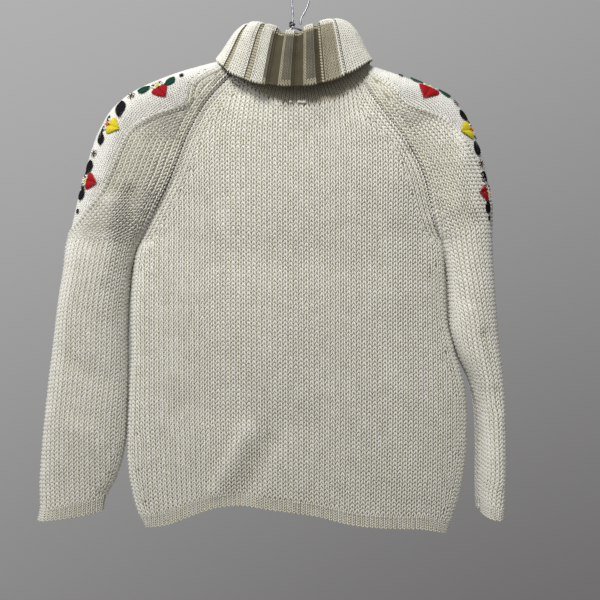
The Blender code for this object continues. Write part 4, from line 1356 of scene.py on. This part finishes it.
# Marks from the neck outwards: how far along the top line, how far to the front of it, the
# size, and the turn in degrees. Leaves point away from the flower that they belong to.
MARKS = {
    LEFT: (
        ("dot", "navy", 72, -34, 6, 0),
        ("leaf", "green", 89, -37, 17, 165),
        ("flower", "red", 107, -36, 20, 0),
        ("leaf", "green", 125, -31, 18, 15),
        ("star", "brown", 145, -28, 12, 10),
        ("leaf", "navy", 171, -34, 25, 145),
        ("flower", "yellow", 200, -31, 21, 0),
        ("leaf", "navy", 222, -31, 18, -20),
        ("star", "brown", 244, -28, 12, 30),
        ("leaf", "navy", 264, -27, 20, 180),
        ("flower", "red", 282, -28, 20, 0),
        ("leaf", "navy", 300, -28, 18, 10),
        ("dot", "navy", 324, -28, 6, 0),
    ),
    RIGHT: (
        ("dot", "navy", 44, -18, 6, 0),
        ("leaf", "green", 66, -17, 18, 180),
        ("flower", "red", 85, -20, 26, 0),
        ("leaf", "green", 106, -18, 18, 0),
        ("star", "brown", 127, -17, 12, 20),
        ("leaf", "navy", 148, -23, 17, 190),
        ("flower", "yellow", 170, -20, 23, 0),
        ("leaf", "navy", 196, -30, 20, -10),
        ("star", "brown", 219, -32, 12, 10),
        ("leaf", "navy", 240, -32, 19, 180),
        ("flower", "red", 260, -27, 19, 0),
        ("leaf", "navy", 279, -32, 18, 0),
        ("dot", "navy", 294, -30, 6, 0),
    ),
}


def rotated(points, degrees):
    """Flat points turned around (0, 0)."""
    turn = np.radians(degrees)
    matrix = np.array([[np.cos(turn), np.sin(turn)], [-np.sin(turn), np.cos(turn)]])
    return np.asarray(points, float) @ matrix


def satin_half(length, width, power, side, lean=0.35):
    """Threads that fill one half of a pointed shape, from its middle line outwards. The shape
    starts at (0, 0) and points along +x."""
    count = max(4, int(round(length / THREAD)))
    at = (np.arange(count) + 0.5) / count
    half = width / 2 * np.sin(np.pi * at**power) ** 0.75
    start = np.stack([at * length, np.zeros(count)], axis=-1)
    end = np.stack([at * length + lean * half, side * half], axis=-1)
    return [(s, e) for s, e, h in zip(start, end, half) if h > 0.5]


def leaf_threads(size):
    threads = satin_half(size, LEAF_WIDTH * size, 1.0, 1)
    threads += satin_half(size, LEAF_WIDTH * size, 1.0, -1)
    return [(s - (size / 2, 0), e - (size / 2, 0)) for s, e in threads]


def petal_threads(size, start):
    """A heart-like petal, widest near the flower's middle and pointed at its end."""
    length, width = 0.82 * size, 1.15 * size
    found = []
    for side in (1, -1):
        found += satin_half(length, width, 0.62, side, lean=-0.30)
    return [(s + (start, 0), e + (start, 0)) for s, e in found]


def round_threads(size):
    count = max(3, int(round(size / THREAD)))
    at = (np.arange(count) + 0.5) / count * 2 - 1
    half = size / 2 * np.sqrt(1 - at**2)
    return [((x * size / 2, -h), (x * size / 2, h)) for x, h in zip(at, half)]


def star_threads(size):
    found = []
    for turn in np.arange(0, 360, 60):
        for shift in (-0.45, 0.45):
            line = rotated([(0.4, shift), (size / 2, shift * 0.3)], turn)
            found.append((line[0], line[1]))
    return found


def travel(side, around, level, ahead, aside, steps=6):
    """Moves over the sleeve by these distances, away from the neck and towards the front, and
    gives the column value and level where it ends."""
    for _ in range(steps):
        here = sleeve_point(side, around, level)
        by_around = (sleeve_point(side, around + STEP, level) - here) / STEP
        by_level = (sleeve_point(side, around, level + STEP) - here) / STEP
        first = -unit(by_level)
        lean = np.sum(by_around * first, axis=-1, keepdims=True)
        second = unit(by_around - lean * first)
        wanted = (first * ahead[..., None] + second * aside[..., None]) / steps
        aa, ab, bb, wa, wb = (np.sum(p * q, axis=-1) for p, q in (
            (by_around, by_around), (by_around, by_level), (by_level, by_level),
            (wanted, by_around), (wanted, by_level)))
        around = around + (wa * bb - wb * ab) / (aa * bb - ab**2)
        level = level + (wb * aa - wa * ab) / (aa * bb - ab**2)
    return around, level


class Ground:
    """The strip's surface around one mark: flat millimetres to points on the cloth."""

    def __init__(self, side, along, aside):
        fine = np.linspace(2.0, 1.0, 800)
        length = path_length(sleeve_point(side, np.zeros(800), fine))
        level = np.interp([along], length, fine)
        self.side = side
        self.centre = travel(side, np.zeros(1), level, np.zeros(1), np.array([float(aside)]), 12)

    def place(self, flat, height):
        flat = np.asarray(flat, float)
        around, level = travel(self.side, *self.centre, flat[..., 0], flat[..., 1])
        out = self.side * normals(lambda a, b: sleeve_point(self.side, a, b), around, level)
        return sleeve_point(self.side, around, level) + out * np.asarray(height)[..., None]


# Places along a thread, and how far it rises there
STATIONS = np.array([0.0, 0.12, 0.5, 0.88, 1.0])
STATION_RISE = np.array([-0.9, 0.75, 1.0, 0.75, -0.9])


def thread_rows(ground, threads, base, lift):
    """Points and faces of threads over the cloth, each a low half-round strip."""
    ends = np.array([(np.asarray(s, float), np.asarray(e, float)) for s, e in threads])
    start, end = ends[:, 0], ends[:, 1]
    line = mix(start[:, None], end[:, None], STATIONS[:, None])
    side = unit(np.stack([end[:, 1] - start[:, 1], start[:, 0] - end[:, 0]], -1)) * THREAD / 2
    flat = line[:, :, None] + side[:, None, None] * np.array([-1.0, 0.0, 1.0])[:, None]
    arch = base + lift * np.sin(np.pi * np.clip(STATIONS, 0.05, 0.95)) + STATION_RISE * 0.3
    height = arch[:, None] + np.array([-0.42, 0.0, -0.42])
    points = ground.place(flat, np.broadcast_to(height, flat.shape[:-1])).reshape(-1, 3)
    one = [(3 * i + k, 3 * i + k + 1, 3 * i + k + 4) for i in range(4) for k in range(2)]
    one += [(3 * i + k, 3 * i + k + 4, 3 * i + k + 3) for i in range(4) for k in range(2)]
    faces = (np.array(one)[None] + 15 * np.arange(len(threads))[:, None, None]).reshape(-1, 3)
    uv = np.stack(np.meshgrid([0, 0.5, 1], STATIONS * 4), axis=-1).reshape(-1, 2)[:, ::-1]
    return even_piece(ground, points, np.tile(uv, (len(threads), 1)), faces)


def even_piece(ground, points, uv, faces):
    """A piece for yarn_mesh with one even tint, its faces turned out of the cloth."""
    if ground.side < 0:
        faces = faces[:, ::-1]
    return points, uv, np.full(len(points), 0.5), faces


def knot(ground, centre, radius, height):
    """A wound knot: a small dome of thread."""
    rings, around = 4, 9
    flat, heights = [], []
    for ring in range(rings):
        share = ring / (rings - 1)
        turn = np.arange(around) / around * 2 * np.pi + ring * 0.5
        r = radius * np.cos(share * np.pi / 2 * 0.86)
        flat.append(np.stack([centre[0] + r * np.cos(turn), centre[1] + r * np.sin(turn)], -1))
        heights.append(np.full(around, -0.4 + height * np.sin(share * np.pi / 2)))
    points = ground.place(np.concatenate(flat), np.concatenate(heights)).reshape(-1, 3)
    faces = []
    for ring in range(rings - 1):
        for k in range(around):
            a, b = ring * around + k, ring * around + (k + 1) % around
            faces += [(a, b, b + around), (a, b + around, a + around)]
    top = (rings - 1) * around
    faces = np.array(faces + [(top, top + k, top + k + 1) for k in range(1, around - 1)])
    return even_piece(ground, points, np.zeros((len(points), 2)), faces)


def on_ring(count, radius_x, radius_y):
    """Places around an ellipse."""
    turns = 2 * np.pi * np.arange(count) / count
    return list(zip(radius_x * np.cos(turns), radius_y * np.sin(turns)))


def flower(ground, colour, size, add):
    """A heart-like petal across the strip, a ring of small knots and a knotted middle."""
    threads = [tuple(rotated(line, -90)) for line in petal_threads(size, 0.17 * size)]
    add(colour, thread_rows(ground, threads, *PETAL_LIFT))
    for k, (x, y) in enumerate(on_ring(12, 0.33 * size, 0.26 * size)):
        tint = "brown" if k % 4 == 1 else "white"
        add(tint, knot(ground, (x, y + 0.10 * size), *RING_KNOT))
    middle = "pale" if colour == "red" else "orange"
    for place in on_ring(5, 2.0, 2.0):
        add(middle, knot(ground, place, *MIDDLE_KNOT))
    add(middle, knot(ground, (0.0, 0.0), *TOP_KNOT))


def buds(ground, size, add):
    """An orange knot and a small green leaf on each side of a flower."""
    for shift in (-1, 1):
        add("orange", knot(ground, (shift * 0.30 * size, -0.42 * size), *BUD_KNOT))
        threads = [tuple(np.array(line) * 0.4 + (shift * 0.42 * size, 0.25 * size))
                   for line in leaf_threads(size * 0.8)]
        add("green", thread_rows(ground, threads, *BUD_LIFT))


def make_embroidery():
    shapes = {"leaf": leaf_threads, "dot": round_threads, "star": star_threads}
    for side, name in ((LEFT, "left"), (RIGHT, "right")):
        found = {}

        def add(colour, piece):
            found.setdefault(colour, []).append(piece)

        for kind, colour, along, aside, size, turn in MARKS[side]:
            ground = Ground(side, along, aside)
            if kind == "flower":
                flower(ground, colour, size, add)
                if colour != "red" or along > BUDS_FROM:
                    buds(ground, size, add)
                continue
            threads = [tuple(rotated(line, turn)) for line in shapes[kind](size)]
            lift = LEAF_LIFT if kind == "leaf" else SMALL_LIFT
            add(colour, thread_rows(ground, threads, *lift))
        for colour, pieces in found.items():
            label = "embroidery_" + name + "_" + colour
            yarn_mesh(label, pieces, THREADS[colour])


THREADS = {name: thread_material("thread_" + name, colour) for name, colour in COLOURS.items()}


# Small sewing at the centre of the neck seam, seen through from the inside

TACK_UP, TACK_OUT, TACK_HEIGHT = 6.5, 3.0, 2.2
TACKS = table("degrees height length", (262.0, 0.05, 4.4), (269.0, 0.09, 5.6), (272.6, 0.09, 5.2))


def make_tacks():
    pieces = []
    for degrees, height, length in zip(*TACKS.values()):
        at = np.array([degrees]), np.array([height])
        out = normals(band_point, *at)
        place = band_point(*at) + out * TACK_OUT
        along = unit(np.cross(np.array([[0.0, 0.0, 1.0]]), out)) * length
        up = np.array([[0.0, 0.0, TACK_UP]])
        pieces.append(bits(BUMP, 1, place, along, up, out, np.array([TACK_HEIGHT])))
    yarn_mesh("neck_tacks", pieces, THREADS["white"])


# Hanger

def make_hanger():
    path = hanger_path()
    curve = bpy.data.curves.new("hanger_wire", "CURVE")
    curve.dimensions = "3D"
    curve.bevel_depth = WIRE_RADIUS * MM
    curve.bevel_resolution = 6
    curve.use_fill_caps = True
    spline = curve.splines.new("POLY")
    spline.points.add(len(path) - 1)
    for target, place in zip(spline.points, path):
        target.co = (*(place * MM), 1)
        target.radius = 1
    made = put("hanger_wire", curve, STEEL)
    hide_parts("hanger")


# Stage, lights and camera

FLOOR_Z = -1.42
CAMERA_PLACE = (0.0, -0.883, -0.4542)
HALF_VIEW, SENSOR = 0.408, 36.0
HALF_FLOOR = 0.9
FLOOR_GREY = 0.55, 0.54, 0.53
# The sky's greys: the darker one below on the right, the lighter one above on the left
DARK_SKY, LIGHT_SKY = (0.155, 0.151, 0.15), (0.445, 0.443, 0.442)
SKY_LEAN, SKY_REACH = (-0.5, 0.0, 1.0), 0.6
# Lights: place, the point they face, side lengths in metres, watts and colour
LIGHTS = {
    "key": ((-0.3, -1.05, 0.7), (0, 0, -0.35), (0.5, 0.5), 17.3, (1.0, 0.99, 0.975)),
    "left": ((-1.0, -0.7, 0.3), (0, 0, -0.3), (0.6, 0.6), 4, (1.0, 0.99, 0.975)),
    "far_side": ((0.6, 1.4, 0.6), (0, 0, -0.35), (1.2, 1.2), 14, (1.0, 0.99, 0.97)),
}


def area_light(name, place, target, size, power, colour):
    data = bpy.data.lights.new(name, "AREA")
    data.energy, data.color = power, colour
    data.shape, data.size, data.size_y = "RECTANGLE", size[0], size[1]
    made = bpy.data.objects.new(name, data)
    made.location = place
    made.rotation_mode = "QUATERNION"
    made.rotation_quaternion = (Vector(target) - Vector(place)).to_track_quat("-Z", "Y")
    bpy.context.scene.collection.objects.link(made)


def make_floor():
    pale, _, shader = shader_of("stage_pale")
    shader.inputs["Base Color"].default_value = (*FLOOR_GREY, 1)
    shader.inputs["Roughness"].default_value = 0.9
    mesh = bpy.data.meshes.new("floor")
    corners = [(x * HALF_FLOOR, y * HALF_FLOOR, FLOOR_Z)
               for x, y in ((-1, -1), (1, -1), (1, 1), (-1, 1))]
    mesh.from_pydata(corners, [], [(0, 1, 2, 3)])
    floor = bpy.data.objects.new("floor", mesh)
    bpy.context.scene.collection.objects.link(floor)
    mesh.materials.append(pale)


def make_sky():
    """A soft grey light from all round, lighter from above on the left."""
    world = bpy.context.scene.world or bpy.data.worlds.new("studio")
    bpy.context.scene.world = world
    world.use_nodes = True
    tree = world.node_tree
    lean = new_node(tree, "VectorMath")
    lean.operation = "DOT_PRODUCT"
    lean.inputs[1].default_value = SKY_LEAN
    tree.links.new(new_node(tree, "TexCoord").outputs["Generated"], lean.inputs[0])
    share = new_node(tree, "MapRange", From_Min=-SKY_REACH, From_Max=SKY_REACH)
    tree.links.new(lean.outputs["Value"], share.inputs["Value"])
    grey = ramp_of(tree, share.outputs["Result"], 0.0, 1.0, DARK_SKY, LIGHT_SKY)
    sky = tree.nodes["Background"]
    tree.links.new(grey, sky.inputs["Color"])
    sky.inputs["Strength"].default_value = 1.0


def make_lights():
    for name, values in LIGHTS.items():
        area_light(name, *values)


def make_camera():
    data = bpy.data.cameras.new("camera")
    data.sensor_width = SENSOR
    data.lens = SENSOR / 2 / (HALF_VIEW / -CAMERA_PLACE[1])
    camera = bpy.data.objects.new("camera", data)
    camera.location = CAMERA_PLACE
    camera.rotation_euler = (np.radians(90), 0, 0)
    bpy.context.scene.collection.objects.link(camera)
    bpy.context.scene.camera = camera


def main():
    bpy.context.scene.view_settings.view_transform = "Standard"
    make_panels()
    make_sleeve(LEFT, "left")
    make_sleeve(RIGHT, "right")
    make_neck_band()
    make_collar()
    make_embroidery()
    make_tacks()
    make_hanger()
    make_floor()
    make_sky()
    make_lights()
    make_camera()


main()
